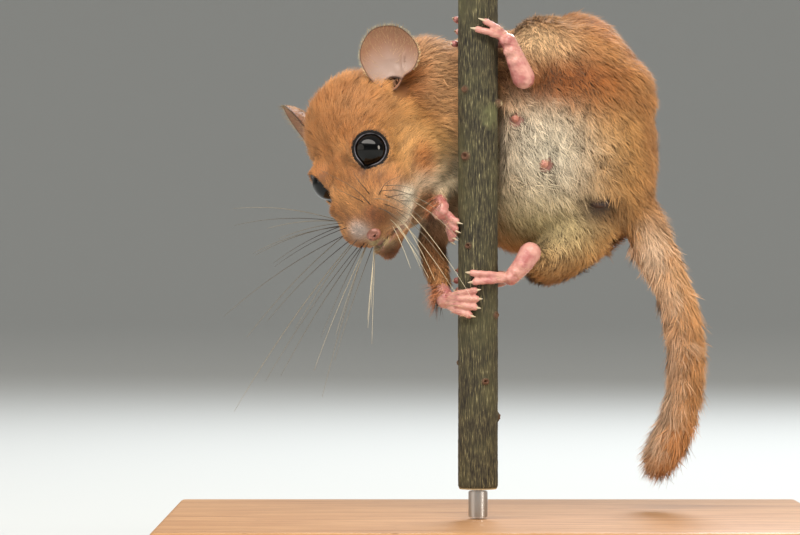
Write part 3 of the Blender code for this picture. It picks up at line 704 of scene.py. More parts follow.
def press_mouth(points, normals):
    """Presses the line of the mouth into the muzzle and fills the lips beside it."""
    near = mouth_line(points)
    shift = 0.22 * np.exp(-((near - 0.75) / 0.35) ** 2) - 0.42 * np.exp(-(near / 0.3) ** 2)
    return points + normals * shift[:, None]


def make_skin():
    """Points, triangles, edges and normals of the hide, in millimetres round the stem."""
    shape = bmesh.new()
    for name in FLESH:
        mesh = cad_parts[name].data.copy()
        mesh.transform(Matrix.Scale(1 / MM, 4))
        mesh.transform(Matrix.Translation(-STEM_IN_FRAME))
        shape.from_mesh(mesh)
        bpy.data.meshes.remove(mesh)
    shape.normal_update()
    for vert in shape.verts:
        vert.co += vert.normal * MELT
    add_balls(shape, [Vector(eye_middle(side)) for side in (1, -1)], [EYE_RADIUS - 0.1] * 2)
    for forward, left, up, radius in (MUZZLE_FILL, EYE_CORNER_FILL, CHIN):
        add_balls(shape, [Vector(head_place(forward, left, up))], [radius])
    route = smooth_route(TAIL_ROUTE, 8)
    radii = np.interp(np.arange(len(route)) / (len(route) - 1), (0, 0.16, 0.35, 0.94, 1.0),
                      (4.6, 4.1, TAIL_CORE + COAT_DEPTH + MELT, TAIL_CORE + COAT_DEPTH - 0.2,
                       TAIL_CORE + COAT_DEPTH - 0.5))
    add_balls(shape, [Vector(place) for place in route], radii)
    points, triangles = melted(shape, SKIN_VOXEL)
    edges = edges_of(triangles)
    face = in_head(points)
    points = spread(points, edges, 5, keep=face * 0.6)
    points = spread(points, edges, 14, keep=face)
    normals = unit(spread(normals_of(points, triangles), edges, 6))
    points = points - normals * (coat_depth(points) + MELT)[:, None]
    points = spread(points, edges, 6, keep=face * 0.7)
    for rounds in (8, 3, 1):
        for side in (1, -1):
            points = open_eye(points, side)
        points = spread(points, edges, rounds, keep=1 - in_head(points))
    pad = head_place(*NOSE_PAD_AT)
    off = np.linalg.norm((head_reading(points) - NOSE_PAD_AT) / NOSE_PAD, axis=1)
    points = pad + (points - pad) * np.interp(off, (0, 0.95, 1.3), (0.7, 0.76, 1.0))[:, None]
    points = press_mouth(points, normals_of(points, triangles))
    return points, triangles, edges, normals_of(points, triangles)


hide, hide_faces, hide_edges, hide_normals = make_skin()
hide_mouth = mouth_line(hide)


# Markings
# The pelage of a hazel dormouse: tawny above, golden on the cheeks and flanks, cream below,
# rustier in the folds, with dark slate underfur that shows where the hair parts. Some patches are
# painted light and shade, not the coat's own colour: the darker rust beside the stem and the dark
# chin, chest, lower belly and crease by the tail are painted shade; the pale neck, the paler ear
# base and the top of the thigh are painted light.

BASE_COAT = ("A86C3E", "CC9059")
SLATE = "4A3D2E"
PORE = 0.25
PATCHES = (  # colour; whose measures; centre, radii and strength, each laid over the last
    ("D6A05A", "body", (19.0, 0.5, 72.0), (8.0, 9.0, 12.0), 0.8),
    ("C99A52", "body", (10.0, 2.0, 58.0), (14.0, 9.0, 7.0), 0.6),
    ("C88C48", "body", (23.5, 4.0, 60.0), (5.0, 8.0, 6.0), 0.5),
    ("DDAA66", "sides", (-14.0, 9.0, 1.0), (8.0, 5.0, 6.5), 0.8),
    ("DDB696", "body", (-6.0, 8.0, 90.0), (9.0, 10.0, 3.5), 0.4),
    # painted shade: darker rust on the neck where it meets the stem
    ("A65C28", "body", (-3.0, 2.5, 75.0), (2.0, 5.0, 8.0), 0.5),
    # rufous at the base of the ear, its own colour, made paler and more orange as painted light
    # against the ear's shadow
    ("C07032", "sides", (-24.0, 11.0, 5.9), (2.6, 2.8, 2.6), 0.9),
    ("BE7636", "sides", (-20.0, 11.5, 2.5), (2.2, 2.4, 3.4), 0.5),
    ("F2E6CE", "body", (10.5, 0.0, 71.5), (7.5, 8.5, 9.5), 1.0),
    ("EEDDB8", "body", (8.0, 0.0, 61.0), (9.5, 8.0, 5.5), 0.7),
    # painted shade: olive over the cream where the lower belly turns under towards the thigh, with
    # a green cast of reflected light
    ("BDAE78", "body", (9.5, 0.0, 59.5), (9.0, 8.0, 4.2), 0.75),
    # painted rim light: pale peach on the top edge of the thigh by the left foot, where light from
    # behind shines through the hair
    ("F6CFA0", "body", (8.5, 1.5, 90.2), (6.5, 6.5, 3.4), 0.95),
    ("DCC494", "body", (-1.5, 3.0, 66.0), (5.0, 7.0, 9.0), 0.6),
    ("EFE0C0", "sides", (-13.5, 7.5, -8.0), (5.0, 5.0, 3.6), 0.75),
    ("EFE0C0", "head", (-10.0, 0.0, -9.0), (7.0, 5.0, 3.5), 0.8),
    # painted light: paler fur on the neck behind the ear, against the shadow that the head casts
    # there
    ("D8A878", "body", (-6.5, 6.0, 84.0), (4.0, 9.0, 6.0), 0.6),
    # painted shade: darker brown on the chest under the chin, above the hand
    ("A56A42", "body", (-7.0, 7.0, 57.5), (3.0, 6.0, 6.5), 0.8),
    ("F3E8D2", "head", (-5.4, -5.4, -2.6), (4.0, 2.4, 2.4), 0.7),
    ("96501A", "body", (13.8, 1.4, 84.0), (8.0, 5.0, 3.2), 1.0),
    ("A65F26", "body", (19.5, 1.0, 82.0), (5.5, 5.0, 3.6), 0.6),
    ("96582A", "head", (-16.0, 1.0, 9.5), (11.0, 9.0, 4.6), 0.5),
    ("F3E8D2", "head", (-8.2, 7.4, -3.0), (2.8, 2.4, 2.0), 0.55),
    ("F6ECD6", "head", (-3.6, 7.0, -1.2), (2.6, 2.2, 1.8), 0.95),
    ("F6ECD6", "head", (-2.2, 4.6, -3.0), (2.6, 2.2, 2.0), 0.9),
    ("AE6228", "sides", (-10.4, 9.2, -0.6), (1.7, 2.4, 2.6), 0.8),
    ("7E4228", "head", (-0.4, 2.6, 2.0), (1.9, 1.5, 1.5), 0.8),
    ("EADAD2", "head", (0.2, -1.8, 1.5), (1.7, 2.5, 1.5), 0.95),
    ("D2C898", "head", (1.9, -0.5, -2.0), (2.4, 2.6, 1.1), 0.95),
    # painted shade: the cream chin darkened to brown where it turns under, away from the light
    ("5A2E1C", "head", (1.0, -0.4, -4.9), (3.2, 3.6, 1.9), 1.0),
    ("9C7866", "sides", (-7.4, 3.3, 6.0), (1.5, 1.5, 1.5), 0.65),
    # painted shade: a dark line in the crease from the vent to the root of the tail
    ("644428", "body", (24.0, 3.5, 59.8), (0.8, 4.0, 2.8), 0.7),
    ("3A2620", "body", (20.2, 2.6, 62.5), (3.2, 3.0, 2.3), 1.0),
    ("E4A668", "body", (32.0, 10.0, 49.0), (5.5, 6.0, 10.0), 0.85),
    ("E4A668", "body", (36.0, 16.0, 31.0), (5.5, 6.0, 13.0), 0.85),
    ("F0D2B6", "body", (28.4, 6.5, 54.5), (2.6, 4.0, 5.5), 0.95),
    ("F0D2B6", "body", (31.0, 8.6, 46.5), (2.4, 4.0, 5.5), 0.95),
    ("F0D2B6", "body", (32.8, 11.8, 38.5), (2.4, 4.0, 5.5), 0.95),
    ("F2DCC4", "body", (32.6, 15.0, 31.0), (2.4, 4.0, 5.0), 0.95),
    ("F2DCC4", "body", (31.0, 18.0, 25.0), (2.4, 4.0, 4.5), 0.95),
)
TICKED = (  # where slate roots show between the locks
    ((15.0, 0.0, 82.5), (7.5, 6.0, 3.2), 0.9), ((9.0, 0.0, 68.0), (9.5, 8.0, 12.5), 0.8),
    ((20.0, 0.5, 72.0), (10.0, 9.0, 13.0), 0.75), ((9.0, 1.0, 57.5), (11.0, 8.0, 4.5), 0.8))
WOOLLY = (((11.0, 0.0, 70.0), (12.0, 9.0, 17.0), 1.0),)


def shares_at(points, patches):
    total = np.zeros(len(points))
    for centre, radii, strength in patches:
        total = np.maximum(total, strength * nearness(points, centre, radii, 1.6))
    return total


def patch_places(where, centre):
    """A patch's place in the body, or by the head's own measures on one or both of its sides."""
    if where == "body":
        return [centre]
    forward, left, up = centre
    return [head_place(forward, left * side, up)
            for side in ((1, -1) if where == "sides" else (1,))]


def pelage_at(points):
    """The colour of the hair that grows at each point, painted light and shade included, as linear
    light, and how ticked it is.
    """
    low, high = (np.array(hex_colour(code)[:3]) for code in BASE_COAT)
    drift = np.clip(0.5 + 0.5 * ripple(points, 7.0, 21), 0, 1)[:, None]
    tone = low * (1 - drift) + high * drift
    for code, where, centre, radii, strength in PATCHES:
        for place in patch_places(where, centre):
            share = strength * nearness(points, place, radii, 1.6)[:, None]
            tone = tone * (1 - share) + np.array(hex_colour(code)[:3]) * share
    return np.concatenate((tone, shares_at(points, TICKED)[:, None]), 1)


def scaled(tree, tone, share):
    """A tone made darker or brighter by a value or a socket."""
    return add_node(tree, "ShaderNodeVectorMath", {"operation": "SCALE"}, {
        0: tone, "Scale": share}).outputs["Vector"]


def pelage_reads(tree):
    """The sockets of the hair's colour and ticking, and of the readings along each hair."""
    tone = add_node(tree, "ShaderNodeAttribute", {"attribute_name": "pelage"})
    return tone.outputs["Color"], tone.outputs["Alpha"], *layer_parts(tree, "hair")


def coat_hair():
    """Soft fine mammal hair: slate at the root, coloured through, paler tips, a faint sheen."""
    material, tree, shader = new_material("soft_dormouse_hair", Roughness=0.6,
                                          Sheen_Weight=0.06, Sheen_Roughness=0.4)
    shader.inputs["Specular IOR Level"].default_value = 0.3
    tone, ticked, along, shade, umber = pelage_reads(tree)
    tone = tinted(tree, tone, "3A281C", umber)
    varied = scaled(tree, tone, ranged(tree, shade, bottom=0.48, top=1.46))
    root = tinted(tree, scaled(tree, varied, 0.5), SLATE, ticked)
    tone = tinted(tree, root, varied, eased(tree, along, 0.0, 0.55))
    tone = tinted(tree, tone, "F0D8A6", eased(tree, along, 0.6, 1.0, 0.15))
    surface(tree, shader, tone)
    return material


def thin_hide():
    """Bare thin hide between the hairs: the coat's colour deepened, warm and slightly moist, near
    black at the lids and with painted shade along the slit of the mouth.
    """
    material, tree, shader = new_material("thin_warm_hide", Roughness=0.6)
    tone, ticked, _, pink, dark = pelage_reads(tree)
    tone = tinted(tree, scaled(tree, tone, 0.5), SLATE, ticked)
    tone = tinted(tree, tone, "B07C70", pink)
    # near black: the lids' own bare skin, and painted shade along the mouth's slit
    tone = tinted(tree, tone, "1E1512", dark)
    pores = noise(tree, object_place(tree), 1 / (PORE * MM), 2.0)
    surface(tree, shader, tone, pores, 0.3, 0.0001)
    return material


def triangle_mesh(name, points, triangles):
    """A mesh straight from arrays of points in metres and triangles."""
    mesh = bpy.data.meshes.new(name)
    mesh.vertices.add(len(points))
    mesh.vertices.foreach_set("co", np.ascontiguousarray(points, np.float32).ravel())
    mesh.loops.add(triangles.size)
    mesh.loops.foreach_set("vertex_index", np.ascontiguousarray(triangles, np.int32).ravel())
    mesh.polygons.add(len(triangles))
    mesh.polygons.foreach_set("loop_start", np.arange(0, triangles.size, 3, dtype=np.int32))
    mesh.update(calc_edges=True)
    mesh.shade_smooth()
    return mesh


TEATS = ((6.27, 76.7, 0.66), (11.0, 69.4, 0.78))  # right of the stem, height, radius
VENT = (20.45, 62.4, 2.0)


def skin_front(across, height):
    """The foremost point of the hide, as the camera sees it."""
    off = np.hypot(hide[:, 0] - across, hide[:, 2] - height)
    near = np.flatnonzero(off < 0.4)
    return hide[near[np.argmin(hide[near, 1] + 0.5 * off[near])]]


def lay_skin():
    mesh = triangle_mesh("skin", in_frame(hide), hide_faces)
    # painted shade along the slit of the mouth; the black round the eyes below is the lids' own
    # bare skin
    dark = np.exp(-(hide_mouth / 0.3) ** 2)
    bare = 0.8 * np.exp(-((hide_mouth - 0.5) / 0.35) ** 2)
    for side in (1, -1):
        height, reach, edge = eye_reading(hide, side)
        dark = np.maximum(dark, (reach - edge < 0.6) & (height > -1.0) & (height < 5.0))
    for across, height, radius in TEATS:
        off = np.linalg.norm(hide - skin_front(across, height), axis=1)
        bare = np.maximum(bare, np.clip(2.6 - off / radius, 0, 1))
    add_layer(mesh, "pelage", pelage_at(hide))
    plain = np.zeros(len(hide))
    add_layer(mesh, "hair", np.stack((plain, bare, dark, plain), -1))
    skin = new_object("skin", mesh, thin_hide())
    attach(skin, "root")
    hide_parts(*FLESH, "tail_1", "tail_2", "tail_3", "tail_4")


lay_skin()


# Coat
# Fine tapered tufts of hair, each rooted in the hide and lying back from nose to tail and
# down each limb. Short straight ones make the plush of the body, fewer long bent ones its
# guard hairs and the brush of the tail; they draw together at the tips.

HIND_LEG_LEFT = ((15.5, 9.5, 86.0, 7.6), (14.0, 8.5, 87.0, 7.2), (9.8, 6.0, 90.3, 4.4),
                 (8.8, 2.4, 87.5, 3.2), (8.0, -0.6, 84.8, 2.3))
HIND_LEG_RIGHT = ((17.5, 9.0, 60.0, 7.2), (16.5, 8.0, 57.5, 6.5), (12.5, 5.5, 52.8, 4.3),
                  (10.3, 2.4, 52.6, 3.1), (9.4, 0.0, 53.4, 2.2))
FORELEG_LEFT = ((-4.0, 14.0, 70.6, 4.0), (-4.8, 8.5, 67.8, 2.9), (-5.8, 3.8, 65.6, 2.1),
                (-6.3, 0.9, 63.6, 1.5))
FORELEG_RIGHT = ((-5.0, 13.0, 61.0, 4.0), (-7.4, 8.0, 56.3, 2.8), (-6.8, 3.6, 51.5, 2.0),
                 (-6.0, 1.3, 48.8, 1.5))
LEGS = (HIND_LEG_LEFT, HIND_LEG_RIGHT, FORELEG_LEFT, FORELEG_RIGHT)
SPINE = (tuple(NOSE) + (4.0,), tuple(head_place(-10, 0, 3)) + (9.0,),
         tuple(head_place(-20, 0, 5)) + (11.0,), (-6.0, 14.0, 76.5, 13.0),
         (8.7, 13.5, 74.0, 16.0), (18.5, 13.0, 74.0, 15.0), (25.0, 10.5, 65.0, 6.0))
TAIL_BONE = tuple(place + (TAIL_CORE,) for place in TAIL_ROUTE[1:])
LIES_ALONG = ((SPINE, 0), (TAIL_BONE, 0), (HIND_LEG_LEFT, 2), (HIND_LEG_RIGHT, 2),
              (FORELEG_LEFT, 0), (FORELEG_RIGHT, 0))  # each bone, from which station on
RUMP = ((28.0, 4.0, 63.0), (4.5, 8.0, 7.0))  # where the hair stands off round the tail
BARE_ROUND = {"teat": 1.6, "vent": 0.6}  # how far round them nothing grows, in their radii
THIN_ROUND = {"teat": 3.0, "vent": 1.2}  # how soon the hair is full length, in millimetres
PIECE_TRIANGLES = 198000
NORMAL_SOFTNESS = 0.6  # how far a hair is lit as the form that it lies on
CLEAR_OF_BARK = 0.12
CLEAR_OF_EYE = 0.1
MAP_PATCH = 0.0015  # half the width of a tuft's patch on the unwrap
BY_TUFT, BY_CLUMP, BY_LOCK = 0.36, 0.22, 0.62  # what a hair's brightness comes from
UMBER_HAIRS = (0.02, 0.12)  # share of near-black hairs, and how many more where ticked


def laid_flat(ways, normals):
    """The ways turned to lie along a surface, at length 1."""
    return unit(ways - np.sum(ways * normals, 1)[:, None] * normals)


def lie_of(points, normals, edges):
    """The way the hair lies at each point: back along the nearest bones, and a little down."""
    total = np.zeros_like(points)
    for bone, first in LIES_ALONG:
        for start, end in zip(bone[first:], bone[first + 1:]):
            a, b = np.array(start[:3]), np.array(end[:3])
            way = b - a
            t = np.clip((points - a) @ way / (way @ way), 0, 1)
            radius = start[3] + (end[3] - start[3]) * t
            off = np.linalg.norm(points - a - t[:, None] * way, axis=1) / radius
            weight = 1 / (off ** 5 + 0.15)
            total += weight[:, None] * way / np.linalg.norm(way)
    total = unit(total)
    face = in_head(points)
    front = np.clip(-normals[:, 1], 0, 1) * (points[:, 0] > 2)
    total[:, 2] -= (0.45 + 1.1 * front) * (1 - face)
    for side in (1, -1):
        away = points - eye_middle(side)
        off = np.linalg.norm(away, axis=1)
        near = np.exp(-((off - EYE_RADIUS) / 1.6) ** 2)
        total += 1.5 * (near / np.maximum(off, 1e-6))[:, None] * away
    for rounds in (150, 40, 0):
        total = spread(laid_flat(total, normals), edges, rounds, keep=0.85 * face)
    return total


def locks_of(lies, seed, rounds=9):
    """Random values from 0 to 1 drawn out along the lie of the hair: its locks and partings."""
    start, end = hide_edges.T
    way = unit(hide[end] - hide[start])
    lie = unit(lies[start] + lies[end])
    weight = np.abs(np.sum(way * lie, 1)) ** 6 + 0.01
    count = len(hide)
    total = np.bincount(start, weight, count) + np.bincount(end, weight, count)
    values = np.random.default_rng(seed).normal(size=count)
    for turn in range(rounds):
        gathered = (np.bincount(start, weight * values[end], count)
                    + np.bincount(end, weight * values[start], count))
        values = 0.35 * values + 0.65 * gathered / np.maximum(total, 1e-9)
    return np.clip(0.5 + 0.3 * (values - values.mean()) / values.std(), 0, 1)


def region_of(points):
    """Shares of face, limb and tail at the points, each from 0 to 1."""
    face = in_head(points)
    route = smooth_route([station[:3] for station in TAIL_BONE], 6)
    off = np.min(np.linalg.norm(points[:, None] - route[None], axis=2), 1)
    tail = fall((points[:, 2] - 59.5) * 1.2) * np.clip(4.6 - off, 0, 1)
    limb = np.zeros(len(points))
    for bone in LEGS:
        for station, strength in zip(bone[1:], (0.5, 0.9, 1.0, 1.0)):
            near = nearness(points, station[:3], (station[3] + 1.2,) * 3, 1.5)
            limb = np.maximum(limb, strength * near)
    return face, limb * ((1 - face) * (1 - tail)), tail


def bare_spots():
    """The foremost point, the radius and the kind of each bare spot of the belly."""
    return [(skin_front(across, height), radius, kind)
            for kind, spots in (("teat", TEATS), ("vent", (VENT,)))
            for across, height, radius in spots]


def coat_plan(points):
    """Length, width, lift, clumping and density of the tufts at the points."""
    read = head_reading(points)
    face, limb, tail = region_of(points)
    forward = read[:, 0]
    face_length = np.interp(forward, (-26, -19, -12, -6, -2, 0), (2.7, 2.1, 1.5, 1.0, 0.6, 0.4))
    woolly = shares_at(points, WOOLLY)

    def blend(trunk, head, leg, brush):
        value = trunk * (1 - face) + head * face
        value = value * (1 - limb) + leg * limb
        return value * (1 - tail) + brush * tail

    down = np.clip((60 - points[:, 2]) / 42, 0, 1)
    length = blend(2.4 + 0.5 * woolly, face_length, 1.5, 3.9 + 1.4 * down)
    for spot, radius, kind in bare_spots():
        off = np.linalg.norm(points - spot, axis=1)
        length *= np.clip(0.25 + (off - radius) / THIN_ROUND[kind], 0.25, 1)
    for side in (1, -1):
        height, reach, edge = eye_reading(points, side)
        length *= np.where(np.abs(height) < 4, np.clip(0.15 + (reach - edge) / 2.4, 0.25, 1), 1)
        middle, across, upward, facing = ear_axes(side)
        spot = middle + EAR_CANAL[0] * across + (EAR_CANAL[1] - 0.4) * upward
        length *= np.clip(np.linalg.norm(points - spot, axis=1) / 2.8 - 0.2, 0.35, 1)
    width = blend(0.15, np.interp(forward, (-24, -8, 0), (0.14, 0.105, 0.08)), 0.13, 0.13)
    lift = blend(23 + 8 * woolly, np.interp(forward, (-24, -8, 0), (21, 17, 15)), 20,
                 22 + 6 * down)
    proud = nearness(points, *RUMP)
    length = length * (1 + 0.25 * proud)
    lift = lift + 14 * proud
    pull = blend(0.3 + 0.35 * woolly, 0.18, 0.2, 0.25)
    density = blend(30.0, np.interp(forward, (-24, -10, 0), (38, 52, 70)), 34.0, 40.0)
    return length, width, np.radians(lift), pull, density


def bare_share(points):
    """1 where no hair grows: eyes, nose, mouth, teats, ear openings and hidden ends."""
    bare = np.zeros(len(points))
    for side in (1, -1):
        height, reach, edge = eye_reading(points, side)
        bare = np.maximum(bare, (reach - edge < 0.32) & (height > -1.5) & (height < 5.0))
    read = head_reading(points)
    bare = np.maximum(bare, np.linalg.norm((read - NOSE_PAD_AT) / NOSE_PAD, axis=1) < 1.0)
    bare = np.maximum(bare, hide_mouth < 0.28)
    for spot, radius, kind in bare_spots():
        bare = np.maximum(bare, np.linalg.norm(points - spot, axis=1)
                          < radius * BARE_ROUND[kind])
    for side in (1, -1):
        middle, across, upward, facing = ear_axes(side)
        way = points - middle
        off = np.hypot(way @ across - EAR_CANAL[0], way @ upward - EAR_CANAL[1])
        bare = np.maximum(bare, (off < 1.5) & (np.abs(way @ facing) < 6.0))
    return bare


def scatter(points, triangles, wanted, seed):
    """Evenly spaced roots: each one's triangle and its corner shares."""
    area = np.linalg.norm(face_ways(points, triangles), axis=1) / 2
    share = area * wanted[triangles].mean(1)
    total = np.cumsum(share)
    count = int(total[-1])
    draw = np.random.default_rng(seed)
    marks_at = (np.arange(count) + draw.uniform(0, 1, count)) * (total[-1] / count)
    found = np.minimum(np.searchsorted(total, marks_at), len(triangles) - 1)
    u, v = draw.uniform(0, 1, (2, count))
    over = u + v > 1
    u[over], v[over] = 1 - u[over], 1 - v[over]
    return found, np.stack((1 - u - v, u, v), -1)


def at_roots(values, triangles, root_marks):
    """Values at a mesh's points, read at the roots that scatter found."""
    found, shares = root_marks
    return np.einsum("pc...,pc->p...", values[triangles[found]], shares)


def tuft_points(roots, normals, lies, length, width, lift, pull, centres, draw, bent):
    """The points of each tuft, three at its root, three half way if it is bent, and its tip."""
    count = len(roots)
    turn = draw.normal(0, 0.2, count)
    side = np.cross(normals, lies)
    lies = lies * np.cos(turn)[:, None] + side * np.sin(turn)[:, None]
    side = np.cross(normals, lies)
    lift = lift * draw.uniform(0.6, 1.4, count)
    length = length * draw.uniform(0.7, 1.2, count)
    twist = draw.normal(0, 0.5, count)
    wide = side * np.cos(twist)[:, None] + normals * np.sin(twist)[:, None]
    high = np.cross(lies, wide)
    towards = centres - roots
    towards -= np.sum(towards * lies, 1)[:, None] * lies * 0.6
    bow = draw.normal(0, 0.03, count) * length
    rows, lit = [], []
    for t, thick in (((0.0, 0.85), (0.5, 1.0), (1.0, 0.0)) if bent else ((0.0, 1.0), (1.0, 0.0))):
        out = np.sin(lift) * (t - 0.35 * bent * t * t) * length - 0.12 * (1 - t)
        along = np.cos(lift) * t * length
        centre = (roots + lies * along[:, None] + normals * out[:, None]
                  + towards * (pull * t ** 1.3)[:, None]
                  + side * (bow * math.sin(math.pi * t) * 0.5 + bow * t)[:, None])
        if thick == 0.0:
            rows.append(centre)
            lit.append(normals)
            continue
        half = (width * thick / 2)[:, None]
        rows += [centre - wide * half, centre + wide * half, centre + high * half * 0.9]
        lit += [-wide, wide, high]
    lit = np.stack(lit, 1) * (1 - NORMAL_SOFTNESS) + normals[:, None] * NORMAL_SOFTNESS
    return np.stack(rows, 1), unit(lit)


SPIKE_FACES = np.array(((0, 2, 1), (0, 1, 3), (1, 2, 3), (2, 0, 3)))
BENT_FACES = np.array(((0, 2, 1), (0, 1, 4), (0, 4, 3), (1, 2, 5), (1, 5, 4), (2, 0, 3),
                       (2, 3, 5), (3, 4, 6), (4, 5, 6), (5, 3, 6)))


def pushed_out(off, room):
    """What takes things at some distance from a middle out to a radius, where they are nearer."""
    return np.where(off < room, room / np.maximum(off, 1e-6), 1.0)[..., None]


def keep_clear(points):
    """Pushes hair out of the stem and the eyeballs."""
    flat = np.hypot(points[..., 0], points[..., 1])
    points[..., :2] *= pushed_out(flat, STEM_RADIUS + CLEAR_OF_BARK)
    for side in (1, -1):
        away = points - eye_middle(side)
        off = np.linalg.norm(away, axis=-1)
        points = eye_middle(side) + away * pushed_out(off, EYE_RADIUS + CLEAR_OF_EYE)
    return points


def round_map(points, centre):
    """An unwrap of a round form: its sphere of directions folded out over a square."""
    way = points - np.array(centre)
    way /= np.abs(way).sum(1)[:, None]
    fold = way[:, 2] < 0
    u = np.where(fold, (1 - np.abs(way[:, 1])) * np.sign(way[:, 0]), way[:, 0])
    v = np.where(fold, (1 - np.abs(way[:, 0])) * np.sign(way[:, 1]), way[:, 1])
    return np.stack((u, v), -1) * 0.495 + 0.5


def long_map(points, bone):
    """An unwrap of a long form: how far along its bone, and the angle round it."""
    route = np.array([station[:3] for station in bone])
    starts, ways = route[:-1], np.diff(route, axis=0)
    sizes = np.linalg.norm(ways, axis=1)
    t = np.clip(np.einsum("pbk,bk->pb", points[:, None] - starts, ways) / sizes ** 2, 0, 1)
    off = points[:, None] - starts - t[..., None] * ways
    best = np.argmin(np.linalg.norm(off, axis=2), 1)
    pick = np.arange(len(points))
    before = np.concatenate(((0,), np.cumsum(sizes)[:-1]))
    along = (before[best] + t[pick, best] * sizes[best]) / sizes.sum()
    off = off[pick, best]
    angle = np.arctan2(off[:, 1], off[:, 0]) / (2 * math.pi) + 0.5
    return np.stack((angle, along), -1) * 0.99 + 0.005


def lay_coat_piece(name, tufts, lit, tones, shade, umber, places, material):
    """One piece of coat, with the patch of each tuft round its root's place on the unwrap."""
    count, size = tufts.shape[:2]
    bent = size == 7
    pattern = BENT_FACES if bent else SPIKE_FACES
    faces = (pattern[None] + size * np.arange(count)[:, None, None]).reshape(-1, 3)
    mesh = triangle_mesh(name, in_frame(tufts.reshape(-1, 3)), faces)
    mesh.normals_split_custom_set_from_vertices(lit.reshape(-1, 3).astype(np.float32))
    add_layer(mesh, "pelage", np.repeat(tones, size, 0))
    along = np.tile((0, 0, 0, 0.5, 0.5, 0.5, 1) if bent else (0, 0, 0, 1), count)
    add_layer(mesh, "hair", np.stack((along, np.repeat(shade, size), np.repeat(umber, size),
                                      np.ones(count * size)), -1))
    patch = ((-1, 0), (1, 0), (0, 0.2), (-1, 1), (1, 1), (0, 1.2), (0, 2))
    patch = np.array(patch if bent else patch[:3] + patch[-1:]) * MAP_PATCH
    spots = (places[:, None] + patch[None]).reshape(-1, 2)
    layer = mesh.uv_layers.new(name="OFBake")
    layer.uv.foreach_set("vector", spots[faces.ravel()].astype(np.float32).ravel())
    piece = new_object(name, mesh, material)
    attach(piece, "root")


UNWRAP_MIDDLES = {
    "trunk": (9.0, 13.5, 74.0), "head": head_place(-13, 0, 2), "limbs": (2.0, 8.0, 70.0)}


def unwrap(name, roots):
    if name == "tail":
        return long_map(roots, TAIL_BONE)
    return round_map(roots, UNWRAP_MIDDLES[name])


def grow_coat(hair, bent, seed, thinned=1.0, longer=1.0):
    """Grows the plush or, bent, the guard hairs and the brush of the tail."""
    draw = np.random.default_rng(seed)
    length, width, lift, pull, density = coat_plan(hide)
    face, limb, tail = region_of(hide)
    on_tail = np.clip((tail - 0.35) / 0.3, 0, 1)
    share = on_tail + (1 - on_tail) * (1 - face) * thinned if bent else 1 - on_tail
    wanted = density * share * (1 - bare_share(hide)) * 1.0
    wanted = wanted * (0.75 + 0.5 * hide_locks)
    root_marks = scatter(hide, hide_faces, wanted, seed + 1)

    def at(values):
        return at_roots(values, hide_faces, root_marks)

    roots, normals = at(hide), unit(at(hide_normals))
    ways = laid_flat(at(hide_lies), normals)
    length, width, lift, pull, on_tail = at(length), at(width), at(lift), at(pull), at(on_tail)
    lock = at(hide_locks)
    length = length * (on_tail + (1 - on_tail) * longer) * (0.8 + 0.4 * lock)

    spacing = np.clip(0.22 * length, 0.3, 0.9)
    is_centre = draw.uniform(0, 1, len(roots)) < 1 / np.maximum(1, spacing ** 2 * at(density))
    spots = roots[is_centre]
    tree = tree_of(spots)
    nearest = np.array([tree.find(root)[1] for root in roots])
    clump_turn = draw.normal(0, 0.24, len(spots))[nearest]
    clump_shade = draw.uniform(0, 1, len(spots))[nearest]
    side = np.cross(normals, ways)
    ways = ways * np.cos(clump_turn)[:, None] + side * np.sin(clump_turn)[:, None]
    tufts, lit = tuft_points(roots, normals, ways, length, width, lift, pull, spots[nearest],
                             draw, bent)
    tufts = keep_clear(tufts)
    tones = pelage_at(roots)
    shade = (BY_TUFT * draw.uniform(0, 1, len(roots)) + BY_CLUMP * clump_shade + BY_LOCK * lock
             - 0.1)
    few, more = UMBER_HAIRS
    umber = 0.7 * (draw.uniform(0, 1, len(roots)) < few + more * tones[:, 3])
    face, limb, tail = region_of(roots)
    kind = np.select((tail > 0.5, face > 0.5, limb > 0.5), (3, 1, 2), 0)
    limit = PIECE_TRIANGLES // (10 if bent else 4)
    for number, (name, order) in enumerate((("trunk", roots[:, 0]),
                                            ("head", head_reading(roots)[:, 0]),
                                            ("limbs", roots[:, 2]), ("tail", roots[:, 2]))):
        chosen = np.flatnonzero(kind == number)
        if len(chosen) == 0:
            continue
        chosen = chosen[np.argsort(order[chosen], kind="stable")]
        for part, picked in enumerate(np.array_split(chosen, math.ceil(len(chosen) / limit))):
            lay_coat_piece(f"{'guard' if bent and number < 3 else 'coat'}_{name}_{part + 1}",
                           tufts[picked], lit[picked], tones[picked],
                           shade[picked], umber[picked],
                           unwrap(name, roots[picked]), hair)


hide_lies = lie_of(hide, hide_normals, hide_edges)
hide_locks = locks_of(hide_lies, 5)
dormouse_hair = coat_hair()
grow_coat(dormouse_hair, False, 11)
grow_coat(dormouse_hair, True, 23, 0.06, 1.35)


# Eyes
# Large black glossy eyes, almost all pupil, that bulge from the side of the head. The lids are a
# thin wet edge, with a painted pale-grey highlight, and a band of bare black skin, drawn to a
# corner towards the nose.

LID_STEPS = 120
LID_PROFILE = (  # beyond the edge, height over the skin's line, how much painted highlight
    (-0.45, -0.75, 0), (-0.15, -0.2, 0), (-0.06, -0.04, 0.5), (0.0, 0.03, 1), (0.06, 0.05, 0.7),
    (0.12, 0.04, 0), (0.2, 0.06, 0), (0.32, 0.06, 0), (0.44, 0.0, 0), (0.6, -0.25, 0),
    (0.5, -0.5, 0), (0.0, -0.9, 0))
LID_GRAIN = 0.12
LID_DAMP_PATCH = 1.6


